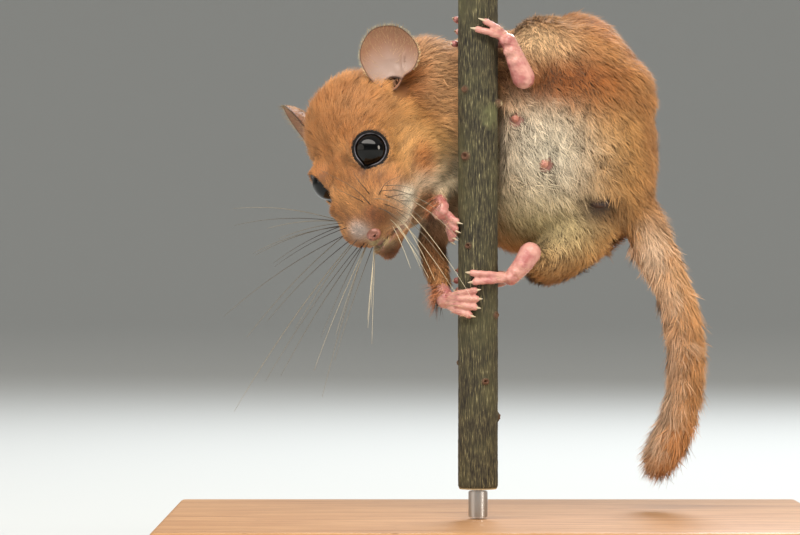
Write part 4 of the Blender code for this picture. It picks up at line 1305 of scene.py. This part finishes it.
def wet_black_eye():
    """A wet dark-brown cornea over a wide pupil: deep gloss, hardly any colour of its own."""
    material, tree, shader = new_material("wet_black_eye", Roughness=0.03, IOR=1.38)
    edge = add_node(tree, "ShaderNodeLayerWeight", inputs={"Blend": 0.25}).outputs["Facing"]
    surface(tree, shader, tinted(tree, "020202", "0C0807", edge))
    return material


def black_lid_skin():
    """Bare lid skin: black, finely wrinkled, with a painted pale-grey highlight along the wet edge
    against the eye, in damp patches.
    """
    material, tree, shader = new_material("moist_black_lid_skin", Roughness=0.5)
    shader.inputs["Specular IOR Level"].default_value = 0.25
    place = object_place(tree)
    grain = noise(tree, place, 1 / (LID_GRAIN * MM), 2.0)
    damp = noise(tree, place, 1 / (LID_DAMP_PATCH * MM), 2.0)
    # painted highlight: pale grey along the wet edge, where the damp patches lie
    painted_wet_glint = add_node(tree, "ShaderNodeMath", {"operation": "MULTIPLY"}, {
        0: layer_value(tree, "edge"), 1: eased(tree, damp, 0.3, 0.62)}).outputs["Value"]
    tone = tinted(tree, "080606", "1A1412", grain)
    surface(tree, shader, tinted(tree, tone, "8E8A92", painted_wet_glint), grain, 0.4, 0.00004)
    return material


def make_eyes():
    gloss, rim = wet_black_eye(), black_lid_skin()
    for name, side in (("left", 1), ("right", -1)):
        shape = bmesh.new()
        bmesh.ops.create_uvsphere(shape, u_segments=64, v_segments=40, radius=EYE_RADIUS * MM)
        mesh = mesh_from("eyeball_" + name, shape)
        place = eye_middle(side)
        mesh.transform(Matrix.Translation(in_frame(place)))
        eye = new_object("eyeball_" + name, mesh, gloss)
        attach(eye, "root")
        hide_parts("eye_" + name)

        axis, corner = eye_axes(side)
        other = np.cross(axis, corner)
        turns = np.linspace(-math.pi, math.pi, LID_STEPS, endpoint=False)
        turns -= 0.5 * np.sin(turns)  # closer together towards the corner
        around = np.cos(turns)[:, None] * corner + np.sin(turns)[:, None] * other
        edge = lid_edge(turns)
        rings = []
        for beyond, rise, pale in LID_PROFILE:
            height = lid_line(edge, max(beyond, 0.0)) + rise
            rings.append(place + around * (edge + beyond)[:, None] + np.outer(height, axis))
        mesh = grid_mesh("lids_" + name, in_frame(np.stack(rings, 1)), closed=True)
        add_layer(mesh, "edge", np.tile([pale for beyond, rise, pale in LID_PROFILE], LID_STEPS))
        lids = new_object("lids_" + name, mesh, rim)
        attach(lids, "root")


make_eyes()


# Nose and bare spots
# The moist pink pad of the nose with its comma-shaped nostrils and the groove to the lip, and
# on the belly two teats and the dark ridged skin below them: all bare skin, set in the coat.

NOSTRIL = (0.46, -0.02)  # from the middle of the pad, out and up


def bare_pink_skin(name, pale, deep, roughness, cell, patch=1.1):
    """Bare living skin: pink over a deeper mottle, finely wrinkled and slightly moist, with
    painted shade in its hollows from a value stored on the mesh.
    """
    material, tree, shader = new_material(name, Roughness=roughness, Coat_Weight=0.25,
                                          Coat_Roughness=0.3)
    place = object_place(tree)
    mottle = noise(tree, place, 1 / (patch * MM), 2.0, Roughness=0.5)
    tone = tinted(tree, pale, deep, eased(tree, mottle, 0.38, 0.68))
    # painted shade: the stored value darkens nostrils, grooves, the teats' undersides and the
    # troughs of ridges
    tone = tinted(tree, tone, "2A1410", layer_value(tree, "tint_and_hollow_shade"))
    cells = add_node(tree, "ShaderNodeTexVoronoi", {"feature": "SMOOTH_F1"}, {
        "Vector": place, "Scale": 1 / (cell * MM)}).outputs["Distance"]
    surface(tree, shader, tone, cells, 0.35, 0.00006)
    return material


def shaped_ball(name, detail, shaping, material):
    """A fine ball whose points a function moves; it also gives the painted shade of each one's
    hollows, and any darkening of its own.
    """
    shape = bmesh.new()
    bmesh.ops.create_icosphere(shape, subdivisions=detail, radius=1.0)
    mesh = mesh_from(name, shape)
    points, tint_and_hollow_shade = shaping(np.array([vert.co for vert in mesh.vertices]))
    mesh.vertices.foreach_set("co", in_frame(points).astype(np.float32).ravel())
    mesh.update()
    add_layer(mesh, "tint_and_hollow_shade", tint_and_hollow_shade)
    piece = new_object(name, mesh, material)
    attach(piece, "root")


def nose_shape(ways):
    """A rounded pad with two comma-shaped nostrils, a rim round each, and a groove below, with
    painted shade in the nostrils, their slits and the groove.
    """
    local = ways * NOSE_PAD
    left, up = np.abs(local[:, 1]), local[:, 2]
    front = np.clip(ways[:, 0] * 3, 0, 1)
    hole = np.exp(-((left - NOSTRIL[0]) / 0.16) ** 2 - ((up - NOSTRIL[1]) / 0.13) ** 2)
    slit = np.exp(-((left - 0.72) / 0.22) ** 2 - ((up - 0.10) / 0.08) ** 2)
    wing = np.exp(-((np.hypot((left - 0.5) / 1.1, up - 0.02) - 0.30) / 0.11) ** 2)
    groove = np.exp(-(left / 0.06) ** 2) * np.clip(0.6 - up, 0, 1)
    sunk = 0.36 * hole + 0.22 * slit + 0.13 * groove - 0.09 * wing
    local = local - ways * (sunk * front)[:, None]
    # painted shade in the nostrils, their slits and the groove
    tint_and_hollow_shade = np.clip(hole * 1.3 + 0.8 * slit + 0.3 * groove, 0, 1) * front
    return head_place(*NOSE_PAD_AT) + local @ HEAD_AXES, tint_and_hollow_shade


def teat_shape(across, height, radius):
    place = skin_front(across, height)
    normal = hide_normals[np.argmin(np.linalg.norm(hide - place, axis=1))]

    def shaping(ways):
        along = ways @ normal
        swell = 1 + 0.1 * ripple(ways * radius, 0.5, 6) - 0.25 * np.clip(along, 0, 1) ** 2
        points = place + ways * (radius * swell)[:, None] + np.outer(along + 0.5, normal) * 0.45
        # painted shadow on the side of each teat that turns in to the belly
        return points, 0.75 * np.clip(0.25 - along, 0, 1)
    return shaping


def vent_shape(ways):
    place = skin_front(*VENT[:2])
    ridges = 0.1 * ripple(ways * (1.0, 1.0, 2.2), 1.1, 17)
    local = ways * (1.9, 0.8, 1.0) * (1 + ridges * np.abs(ways[:, 1]))[:, None]
    # 0.3 darkens the whole spot, its own colour; the rest is painted shade in the troughs of the
    # ridges
    return place + (0, 0.35, 0) + local, 0.3 + 0.45 * np.clip(ridges * -6, 0, 1)


def lay_bare_spots():
    nose_skin = bare_pink_skin("moist_pink_nose_skin", "A66E5F", "744636", 0.48, 0.16)
    shaped_ball("nose_pad", 6, nose_shape, nose_skin)
    teat_skin = bare_pink_skin("soft_pink_teat_skin", "D49A88", "B97766", 0.45, 0.2)
    for number, teat in enumerate(TEATS):
        shaped_ball(f"teat_{number + 1}", 4, teat_shape(*teat), teat_skin)
    dusky_skin = bare_pink_skin("dusky_wrinkled_skin", "4E352A", "2A1A14", 0.6, 0.25)
    shaped_ball("vent_skin", 5, vent_shape, dusky_skin)


lay_bare_spots()


# Whiskers
# Stiff tapering hairs in rows on each side of the muzzle, dark above and pale below, that fan
# out and curve down, and eight shorter dark ones that lie over the face.

WHISKER_ROOT = 0.075
WHISKER_TIP = 0.02
WHISKER_SIDES = 5
WHISKER_SAG = 0.16
WHISKER_COLUMNS = {"right": 4, "left": 3}
COLUMN_STEP = (-0.8, 0.6, 0.12)
WHISKER_ROWS = {  # root of the row, then its way, forward, out and up; length; how pale
    "right": (
        ((-3.0, 3.6, 2.6), (0.00, 1.0, 0.90), 17.0, 0.1),
        ((-2.6, 3.6, 1.6), (0.15, 1.0, 0.40), 18.0, 0.0),
        ((-2.0, 3.6, 0.6), (0.60, 1.0, 0.20), 22.0, 0.0),
        ((-1.4, 3.5, -0.3), (1.10, 1.0, 0.05), 25.0, 0.0),
        ((-0.9, 3.0, -1.1), (1.50, 0.9, -0.20), 21.0, 0.2),
        ((-0.6, 2.2, -1.6), (1.60, 0.8, -0.70), 12.0, 0.9)),
    "left": (
        ((-3.0, 3.6, 2.2), (0.68, 1.0, -0.05), 12.0, 0.1),
        ((-2.4, 3.8, 1.2), (1.00, 1.0, -0.25), 15.0, 0.1),
        ((-1.8, 3.8, 0.2), (1.35, 1.0, -0.55), 18.0, 0.35),
        ((-1.2, 3.6, -0.7), (1.60, 0.9, -0.80), 19.0, 0.8),
        ((-0.7, 2.8, -1.4), (1.70, 0.7, -0.70), 13.0, 0.95)),
}
FACE_WHISKERS = (  # root, middle and tip as the camera sees them, right of the stem and height
    ((-17.8, 62.2), (-20.9, 65.2), (-26.3, 68.2)), ((-19.0, 62.7), (-21.2, 63.8), (-24.2, 65.3)),
    ((-18.0, 64.0), (-19.9, 66.3), (-20.7, 67.8)), ((-16.5, 63.9), (-15.3, 65.8), (-12.7, 67.1)),
    ((-15.3, 63.4), (-11.9, 64.0), (-9.2, 63.6)), ((-13.1, 62.9), (-10.6, 62.8), (-8.7, 62.3)),
    ((-15.6, 62.4), (-13.4, 61.5), (-10.5, 60.1)), ((-15.5, 61.4), (-13.9, 60.1), (-12.7, 59.3)))


def tube_rings(route, radii, sides, squash=1.0, seed_way=(0.31, 0.87, 0.38)):
    """Rings along a route, which a squash other than 1 makes oval."""
    ways = unit(np.gradient(route, axis=0))
    turns = np.linspace(0, 2 * math.pi, sides, endpoint=False)
    side = np.array(seed_way)
    rings = []
    for spot, way, radius in zip(route, ways, radii):
        side = side - side @ way * way
        side /= np.linalg.norm(side)
        other = np.cross(way, side)
        rings.append(spot + radius * (np.cos(turns)[:, None] * side
                                      + squash * np.sin(turns)[:, None] * other))
    return np.array(rings)


def split_cells(near, far):
    """Two triangles for each cell between two rows of rings, given as indices."""
    after, far_after = np.roll(near, -1, 1), np.roll(far, -1, 1)
    return [np.stack((near, far, far_after), -1).reshape(-1, 3),
            np.stack((near, far_after, after), -1).reshape(-1, 3)]


def joined_tubes(name, tubes, tones, material, slot):
    """One piece from many tubes, each closed by a fan over its ends, with a tone at each ring."""
    verts, faces, values, start = [], [], [], 0
    for rings, tone in zip(tubes, tones):
        rows, sides = rings.shape[:2]
        index = start + np.arange(rows * sides).reshape(rows, sides)
        faces += split_cells(index[:-1], index[1:])
        for ring, turned in ((index[0], False), (index[-1], True)):
            middle = np.full(sides, start + rows * sides + turned)
            pair = (np.roll(ring, -1), ring) if turned else (ring, np.roll(ring, -1))
            faces.append(np.stack((middle, *pair), -1))
        verts += [rings.reshape(-1, 3), rings[0].mean(0)[None], rings[-1].mean(0)[None]]
        values += [np.repeat(tone, sides), tone[[0, -1]]]
        start += rows * sides + 2
    mesh = triangle_mesh(name, in_frame(np.concatenate(verts)), np.concatenate(faces))
    turn_outward(mesh)
    add_layer(mesh, "tone", np.concatenate(values))
    piece = new_object(name, mesh, material)
    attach(piece, "root")


def toned_hair(name, root, tip, **finish):
    """A material that runs from one tone to another by the tone stored on the mesh."""
    material, tree, shader = new_material(name, **finish)
    surface(tree, shader, tinted(tree, root, tip, layer_value(tree, "tone")))
    return material


def whisker_hair():
    """Stiff smooth whisker: near-black to straw, with a low gloss along its length."""
    return toned_hair("stiff_whisker_hair", "231712", "E4D6B4", Roughness=0.38)


def row_whiskers(name, side, draw):
    """The tubes and tones of the rows of whiskers on one side of the muzzle."""
    tubes, tones = [], []
    t = np.linspace(0, 1, 16)[:, None]
    for place, way, length, pale in WHISKER_ROWS[name]:
        for column in range(WHISKER_COLUMNS[name]):
            forward, left, up = np.array(place) + np.array(COLUMN_STEP) * column
            guide = head_place(forward, left * side, up)
            root = hide[np.argmin(np.linalg.norm(hide - guide, axis=1))]
            out = np.array(way) + draw.normal(0, 0.09, 3) + (-0.12 * column, 0, 0)
            out = (out * (1, side, 1)) @ HEAD_AXES
            out /= np.linalg.norm(out)
            reach = length * (0.72 + 0.16 * column) * draw.uniform(0.85, 1.1)
            route = root + out * reach * (t - 0.02) + (0, 0, -WHISKER_SAG * reach) * t ** 2.2
            radii = WHISKER_TIP + ((WHISKER_ROOT - WHISKER_TIP)
                                   * (1 - 0.5 * pale) * (1 - t[:, 0]))
            tubes.append(tube_rings(route, radii, WHISKER_SIDES))
            tones.append(np.clip(pale + draw.normal(0, 0.1) + 0.25 * t[:, 0], 0, 1))
    return tubes, tones


def face_whiskers():
    """The tubes and tones of the whiskers that lie over the face, a little in front of it."""
    tubes, tones = [], []
    for spots in FACE_WHISKERS:
        route = smooth_route([(across, 0.0, height) for across, height in spots], 7)
        route[:, 1] = skin_front(*spots[0])[1]
        for spot, share in zip(route, np.linspace(0, 1, len(route))):
            near = np.hypot(hide[:, 0] - spot[0], hide[:, 2] - spot[2]) < 0.5
            front = hide[near, 1].min() if near.any() else spot[1]
            spot[1] = front + 0.25 - 1.3 * min(share * 3, 1) - 0.5 * share
        route = smooth_route(route[::2], 4)
        share = np.linspace(1, 0, len(route))
        tubes.append(tube_rings(route, WHISKER_TIP + (WHISKER_ROOT - WHISKER_TIP) * share,
                                WHISKER_SIDES))
        tones.append(0.12 * (1 - share))
    return tubes, tones


def make_whiskers():
    draw = np.random.default_rng(31)
    hair = whisker_hair()
    for name, side in (("left", 1), ("right", -1)):
        joined_tubes(f"whiskers_{name}", *row_whiskers(name, side, draw), hair, "coat")
    joined_tubes("whiskers_face", *face_whiskers(), hair, "coat")


make_whiskers()


# Ears
# Thin round cups of skin, pinkish inside and browner towards a fine dark edge, with a fold, a
# small lobe beside the dark canal, fine pale hairs within and a short soft fur behind.

EAR_LENGTH = 11.0
EAR_WIDTH = 9.85
EAR_DISH = 2.3
EAR_RINGS = 60
EAR_RIM_RINGS = 8  # of those, the ones that round off its edge
EAR_RIM = 0.94
EAR_SIDES = 160
EAR_THICKNESS = 0.32
EAR_NICK = (308, 0.42, 0.2)  # its angle in degrees, width in radians and depth
CANAL_MOUTH = (0.2, -5.1)
EAR_LOBE = (2.15, -4.8)
EAR_VEIN = 2.6
EAR_GRAIN = 0.3


def thin_ear_skin():
    """Thin ear skin: pinkish brown, faintly veined, browner above, with painted shade, dark
    red-brown, in the canal.
    """
    material, tree, shader = new_material("thin_pinkish_ear_skin", Roughness=0.5,
                                          Sheen_Weight=0.15, Sheen_Roughness=0.4)
    place = object_place(tree)
    veins = noise(tree, place, 1 / (EAR_VEIN * MM), 2.0, {"noise_type": "RIDGED_MULTIFRACTAL"})
    tone = tinted(tree, "A38B80", "8E5E58", eased(tree, veins, 0.75, 1.25, 0.6))
    rim, brown, dark = layer_parts(tree, "ear")
    # the dark red-brown is painted shade in the canal
    for share, code in ((brown, "98684A"), (rim, "4A2A1C"), (dark, "3A1812")):
        tone = tinted(tree, tone, code, share)
    surface(tree, shader, tone, noise(tree, place, 1 / (EAR_GRAIN * MM), 3.0), 0.25, 0.00006)
    return material


def brush_on(name, points, triangles, wanted, ways, length, width, lift, tone, seed, middle):
    """Short straight tufts over any surface, along the ways given at its points."""
    draw = np.random.default_rng(seed)
    root_marks = scatter(points, triangles, wanted, seed + 1)

    def at(values):
        return at_roots(values, triangles, root_marks)

    roots, grow = at(points), unit(at(normals_of(points, triangles)))
    size = np.ones(len(roots))
    tufts, lit = tuft_points(roots, grow, laid_flat(at(ways), grow), size * length, size * width,
                             size * math.radians(lift), size * 0, roots, draw, False)
    tones = np.tile((*hex_colour(tone)[:3], 0.0), (len(roots), 1))
    lay_coat_piece(name, keep_clear(tufts), lit, tones, draw.uniform(0, 1, len(roots)), size * 0,
                   round_map(roots, middle), dormouse_hair)


def ear_form():
    """The cup as rings of points across and up from its middle: the two sides' depths behind
    its edge, then how much each point is rim, brown upper part and painted shade in the canal."""
    radii = np.concatenate((np.linspace(0.03, EAR_RIM, EAR_RINGS - EAR_RIM_RINGS),
                            1 - (1 - EAR_RIM) * np.linspace(1, 0, EAR_RIM_RINGS + 1)[1:] ** 2))
    turns = np.linspace(0, 2 * math.pi, EAR_SIDES, endpoint=False)
    reach, turn = np.meshgrid(radii, turns, indexing="ij")
    low = np.maximum(0, -np.sin(turn))
    angle, wide, deep = EAR_NICK
    nick = 1 - deep * np.exp(-((turn - math.radians(angle)) / wide) ** 2)
    edge = 1 + 0.012 * np.sin(3 * turn + 1) + 0.008 * np.sin(7 * turn)
    x = reach * EAR_WIDTH / 2 * (1 - 0.16 * low) * np.cos(turn) * nick * edge
    y = reach * EAR_LENGTH / 2 * np.sin(turn) * nick * edge
    dish = EAR_DISH * (1 - reach ** 2.5) + 1.1 * low * reach * (1 - reach)
    hole = np.hypot((x - CANAL_MOUTH[0]) / 1.25, (y - CANAL_MOUTH[1]) / 1.25)
    canal = fall((hole - 1.35) * 5)
    fold = np.exp(-((x - 2.1 - 0.1 * (y + 1.5) ** 2) / 0.32) ** 2) * (
        fall((y - 0.7) * 4) - fall((y + 3.9) * 4))
    lobe = np.exp(-((x - EAR_LOBE[0]) / 0.5) ** 2 - ((y - EAR_LOBE[1]) / 1.1) ** 2)
    shelf = np.exp(-((hole - 1.75) / 0.22) ** 2) * (y > -5.0)
    front = dish + 1.7 * canal - 0.4 * fold - 1.25 * lobe - 0.3 * shelf
    thick = EAR_THICKNESS * (1 - 0.5 * reach ** 6) * np.sqrt(np.clip(
        (1.0 - reach) / 0.03, 0.02, 1))
    depths = front - thick / 2, np.minimum(front, dish + 0.4) + thick / 2
    rim = np.clip((reach - 0.955) / 0.03, 0, 1)
    brown = np.clip((y + 0.6 + 0.5 * np.abs(x)) / 4.2, 0, 1) * 0.85
    brown = np.maximum(brown, np.clip((reach - 0.86) / 0.1, 0, 1) * 0.55)
    # painted shade in the canal, less over the lobe that stands in front of it
    dark = np.clip(1.25 * canal - 0.1, 0, 1) * (1 - 0.8 * np.clip(lobe * 1.5, 0, 1))
    return reach, turn, x, y, depths, rim, brown, dark


def make_ears():
    skin_of_ear = thin_ear_skin()
    reach, turn, x, y, depths, rim, brown, dark = ear_form()
    solid = np.ones_like(rim)
    inner = np.stack((rim * 0.85, brown, dark, solid), -1)
    outer = np.stack((rim * 0.85, solid * 0.9, 0 * rim, solid), -1)
    marks = np.concatenate((inner, outer[::-1])).reshape(-1, 4)
    index = np.arange(reach.size).reshape(reach.shape)
    cells = np.concatenate(split_cells(index[:-1], index[1:]))
    for name, side in (("left", 1), ("right", -1)):
        middle, across, upward, facing = ear_axes(side)
        front, back = (middle + x[..., None] * across + y[..., None] * upward
                       - depth[..., None] * facing for depth in depths)
        mesh = grid_mesh("ear_cup_" + name, in_frame(np.concatenate((front, back[::-1]))))
        add_layer(mesh, "ear", np.concatenate((marks, marks[[0, -1]])))
        ear = new_object("ear_cup_" + name, mesh, skin_of_ear)
        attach(ear, "root")
        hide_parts("ear_" + name)

        out = np.cos(turn)[..., None] * across + np.sin(turn)[..., None] * upward
        for part, layer, turned, density, ways, *finish in (
                ("inner", front, side < 0, 11.0 * (dark < 0.2) * (0.15 + brown) * (reach < 0.97),
                 out + 0.9 * upward, 1.6, 0.05, 9, "C4A47C"),
                ("back", back, side > 0, 26.0 * (reach < 0.9), out, 1.0, 0.09, 12, "BC8A5C"),
                ("edge", front, side < 0, 70.0 * (reach > 0.97) * (y > -2.5), out, 0.6, 0.05, 2,
                 "EDDDB0")):
            brush_on(f"ear_hair_{part}_{name}", layer.reshape(-1, 3),
                     cells[:, ::-1] if turned else cells, density.ravel(), ways.reshape(-1, 3),
                     *finish, 41, middle)


make_ears()


# Paws
# Bare pink hands and feet that grip the stem: fleshy pads under the palm and sole, knuckled
# digits with round tip pads, and small hooked claws of pale horn.

HAND_LEFT = ((-6.3, 0.2, 63.0, 1.3), (-6.4, -1.1, 61.2, 1.5))
HAND_RIGHT = ((-5.9, 0.8, 48.2, 1.35), (-5.5, -0.6, 46.6, 1.65))
FOOT_LEFT = ((7.5, -2.5, 83.4, 2.0), (6.4, -2.9, 86.0, 1.75), (5.0, -3.2, 89.4, 1.4))
FOOT_RIGHT = ((8.6, -2.3, 54.3, 1.95), (7.2, -2.8, 52.2, 1.7), (5.4, -3.0, 50.2, 1.4))
FINGERS_LEFT = ((-80, -58, 59.6), (-84, -62, 58.3), (-90, -72, 57.2), (-98, -88, 56.6))
FINGERS_RIGHT = ((-75, -8, 48.1), (-75, -4, 46.7), (-80, -8, 45.3), (-90, -20, 44.0))
TOES_LEFT = ((60, -2, 91.3), (66, 16, 92.6), (92, 236, 93.4), (98, 228, 91.4), (104, 246, 89.3))
TOES_RIGHT = ((62, -14, 51.0), (60, -8, 49.5), (98, 225, 51.4), (100, 235, 49.7),
              (98, 228, 48.1))
DIGIT_RADIUS = 0.6
DIGIT_STANDS_OFF = 0.9
DIGIT_SWELLS = (  # knuckles and tip pad: place from root to tip, swelling, width
    (0.3, 0.09, 0.07), (0.58, 0.1, 0.06), (0.8, 0.07, 0.05), (0.97, 0.12, 0.05))
PAD_WAYS = ((-0.25, -0.97, 0.0), (-0.85, -0.5, 0.0))
PAW_VOXEL = 0.13
CLAW_LENGTH = 1.2
CLAW_RADIUS = 0.23
CLAW_STEPS = 12
CLAW_SIDES = 10


def on_stem(angle, height, off):
    """A place off the bark by its angle round the stem, in degrees, and its height."""
    reach = STEM_RADIUS + off
    return (reach * math.sin(math.radians(angle)), -reach * math.cos(math.radians(angle)), height)


def claw_horn():
    """Claw horn: straw to white at the tip, smooth and slightly see-through in life."""
    return toned_hair("pale_claw_horn", "B48F76", "DDD0B2", Roughness=0.3, IOR=1.54)


def clear_of_stem(points, room):
    """Moves points that lie in the bark, or too close to it, straight out of it."""
    flat = np.hypot(points[:, 0], points[:, 1])
    points[:, :2] *= (np.maximum(flat, STEM_RADIUS + room) / flat)[:, None]


def make_paw(name, node, sole, digits, claw, flesh, horn):
    shape = bmesh.new()
    route = smooth_route([station[:3] for station in sole], 6)
    radii = np.interp(np.linspace(0, 1, len(route)), np.linspace(0, 1, len(sole)),
                      [station[3] for station in sole])
    add_balls(shape, [Vector(place) for place in route], radii)
    heel = sole[-1]
    stem_side = np.array((-heel[0], -heel[1], 0.0)) / math.hypot(heel[0], heel[1])
    for share in (0.5, 0.75, 1.0):
        spot = route[round(share * (len(route) - 1))]
        for way in PAD_WAYS:
            way = np.array(way) if len(sole) > 2 else np.array(way) + stem_side
            way = way / np.linalg.norm(way)
            add_balls(shape, [Vector(spot + way * 0.95)], [1.1 - 0.25 * share])
    claws = []
    for first, last, height in digits:
        knots = [heel[:3]]
        steps = max(2, round(abs(last - first) / 35))
        for step in range(steps + 1):
            t = (step + 0.5) / (steps + 0.5)
            knots.append(on_stem(first + (last - first) * t,
                                 heel[2] + (height - heel[2]) * t ** 0.6,
                                 0.3 + DIGIT_RADIUS + DIGIT_STANDS_OFF * (1 - t) + 0.1))
        route = smooth_route(knots, 14)
        t = np.linspace(0, 1, len(route))
        radii = 0.74 - 0.2 * t
        for knuckle, swell, wide in DIGIT_SWELLS:
            radii = radii + swell * np.exp(-((t - knuckle) / wide) ** 2)
        add_balls(shape, [Vector(place) for place in route[3:]], radii[3:])
        tip = route[-1]
        inward = -np.array((tip[0], tip[1], 0.0)) / math.hypot(tip[0], tip[1])
        add_balls(shape, [Vector(tip + inward * 0.12 + (0, 0, 0.05))], [0.6])
        way = route[-1] - route[-5]
        way /= np.linalg.norm(way)
        s = np.linspace(0, 1, CLAW_STEPS)[:, None]
        path = tip - inward * 0.26 + way * (0.1 + claw * s) + inward * (0.75 * s ** 2.2)
        clear_of_stem(path, 0.08)
        claws.append(tube_rings(path, CLAW_RADIUS * (1 - s[:, 0] ** 1.6) ** 0.8 + 0.02,
                                CLAW_SIDES, 0.72, (0.0, 0.0, 1.0)))
    points, triangles = melted(shape, PAW_VOXEL)
    edges = edges_of(triangles)
    points = spread(points, edges, 3)
    wrinkle = ripple(points * (1, 1, 1.6), 0.5, 12)
    points = points + normals_of(points, triangles) * (0.025 * wrinkle - 0.06)[:, None]
    clear_of_stem(points, 0.05)
    mesh = triangle_mesh(name, in_frame(points), triangles)
    paw = new_object(name, mesh, flesh)
    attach(paw, "root")
    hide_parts(node)
    paling = np.linspace(0, 1, CLAW_STEPS) ** 0.6
    joined_tubes("claws_" + name, claws, [paling] * len(claws), horn, "bare_skin")
    return points, triangles


def make_paws():
    flesh = bare_pink_skin("bare_pink_paw_skin", "CF968A", "B06A66", 0.4, 0.3, 2.0)
    horn = claw_horn()
    for name, node, sole, digits, claw in (
            ("hand_left", "forepaw_left", HAND_LEFT, FINGERS_LEFT, 0.75),
            ("hand_right", "forepaw_right", HAND_RIGHT, FINGERS_RIGHT, 0.75),
            ("foot_left", "hindfoot_left", FOOT_LEFT, TOES_LEFT, 1.0),
            ("foot_right", "hindfoot_right", FOOT_RIGHT, TOES_RIGHT, 1.0)):
        points, triangles = make_paw(name, node, sole, digits, CLAW_LENGTH * claw, flesh, horn)
        heel = np.array(sole[-1][:3])
        outer = unit(points * (1, 1, 0))
        normals = normals_of(points, triangles)
        top = np.clip(np.sum(outer * normals, 1) - 0.1, 0, 1)
        if len(sole) > 2:
            bottom = np.clip(-(normals @ np.array((-0.4, -0.9, 0.0))), 0, 1)
            near = np.linalg.norm(points - heel, axis=1) < 3.5
            top = np.where(near, top, bottom)
        ways = np.cross(outer, (0, 0, 1)) * (1 if digits[0][1] > digits[0][0] else -1)
        ways = ways + (points - heel) * 0.15
        brush_on("paw_hair_" + name, points, triangles, 7.0 * top, ways, 1.1, 0.06, 16,
                 "DDB894", 51, tuple(heel))
        if len(sole) == 2:
            wrist = np.array(sole[0][:3])
            outside = np.clip(normals @ np.array((-0.9, -0.2, 0.2)), 0, 1)
            outside *= np.linalg.norm(points - wrist, axis=1) < 2.4
            ways = np.tile((-0.25, -0.1, -1.0), (len(points), 1))
            brush_on("wrist_hair_" + name, points, triangles, 26.0 * outside, ways, 3.4, 0.1, 18,
                     "B4704A", 57, tuple(wrist))


make_paws()
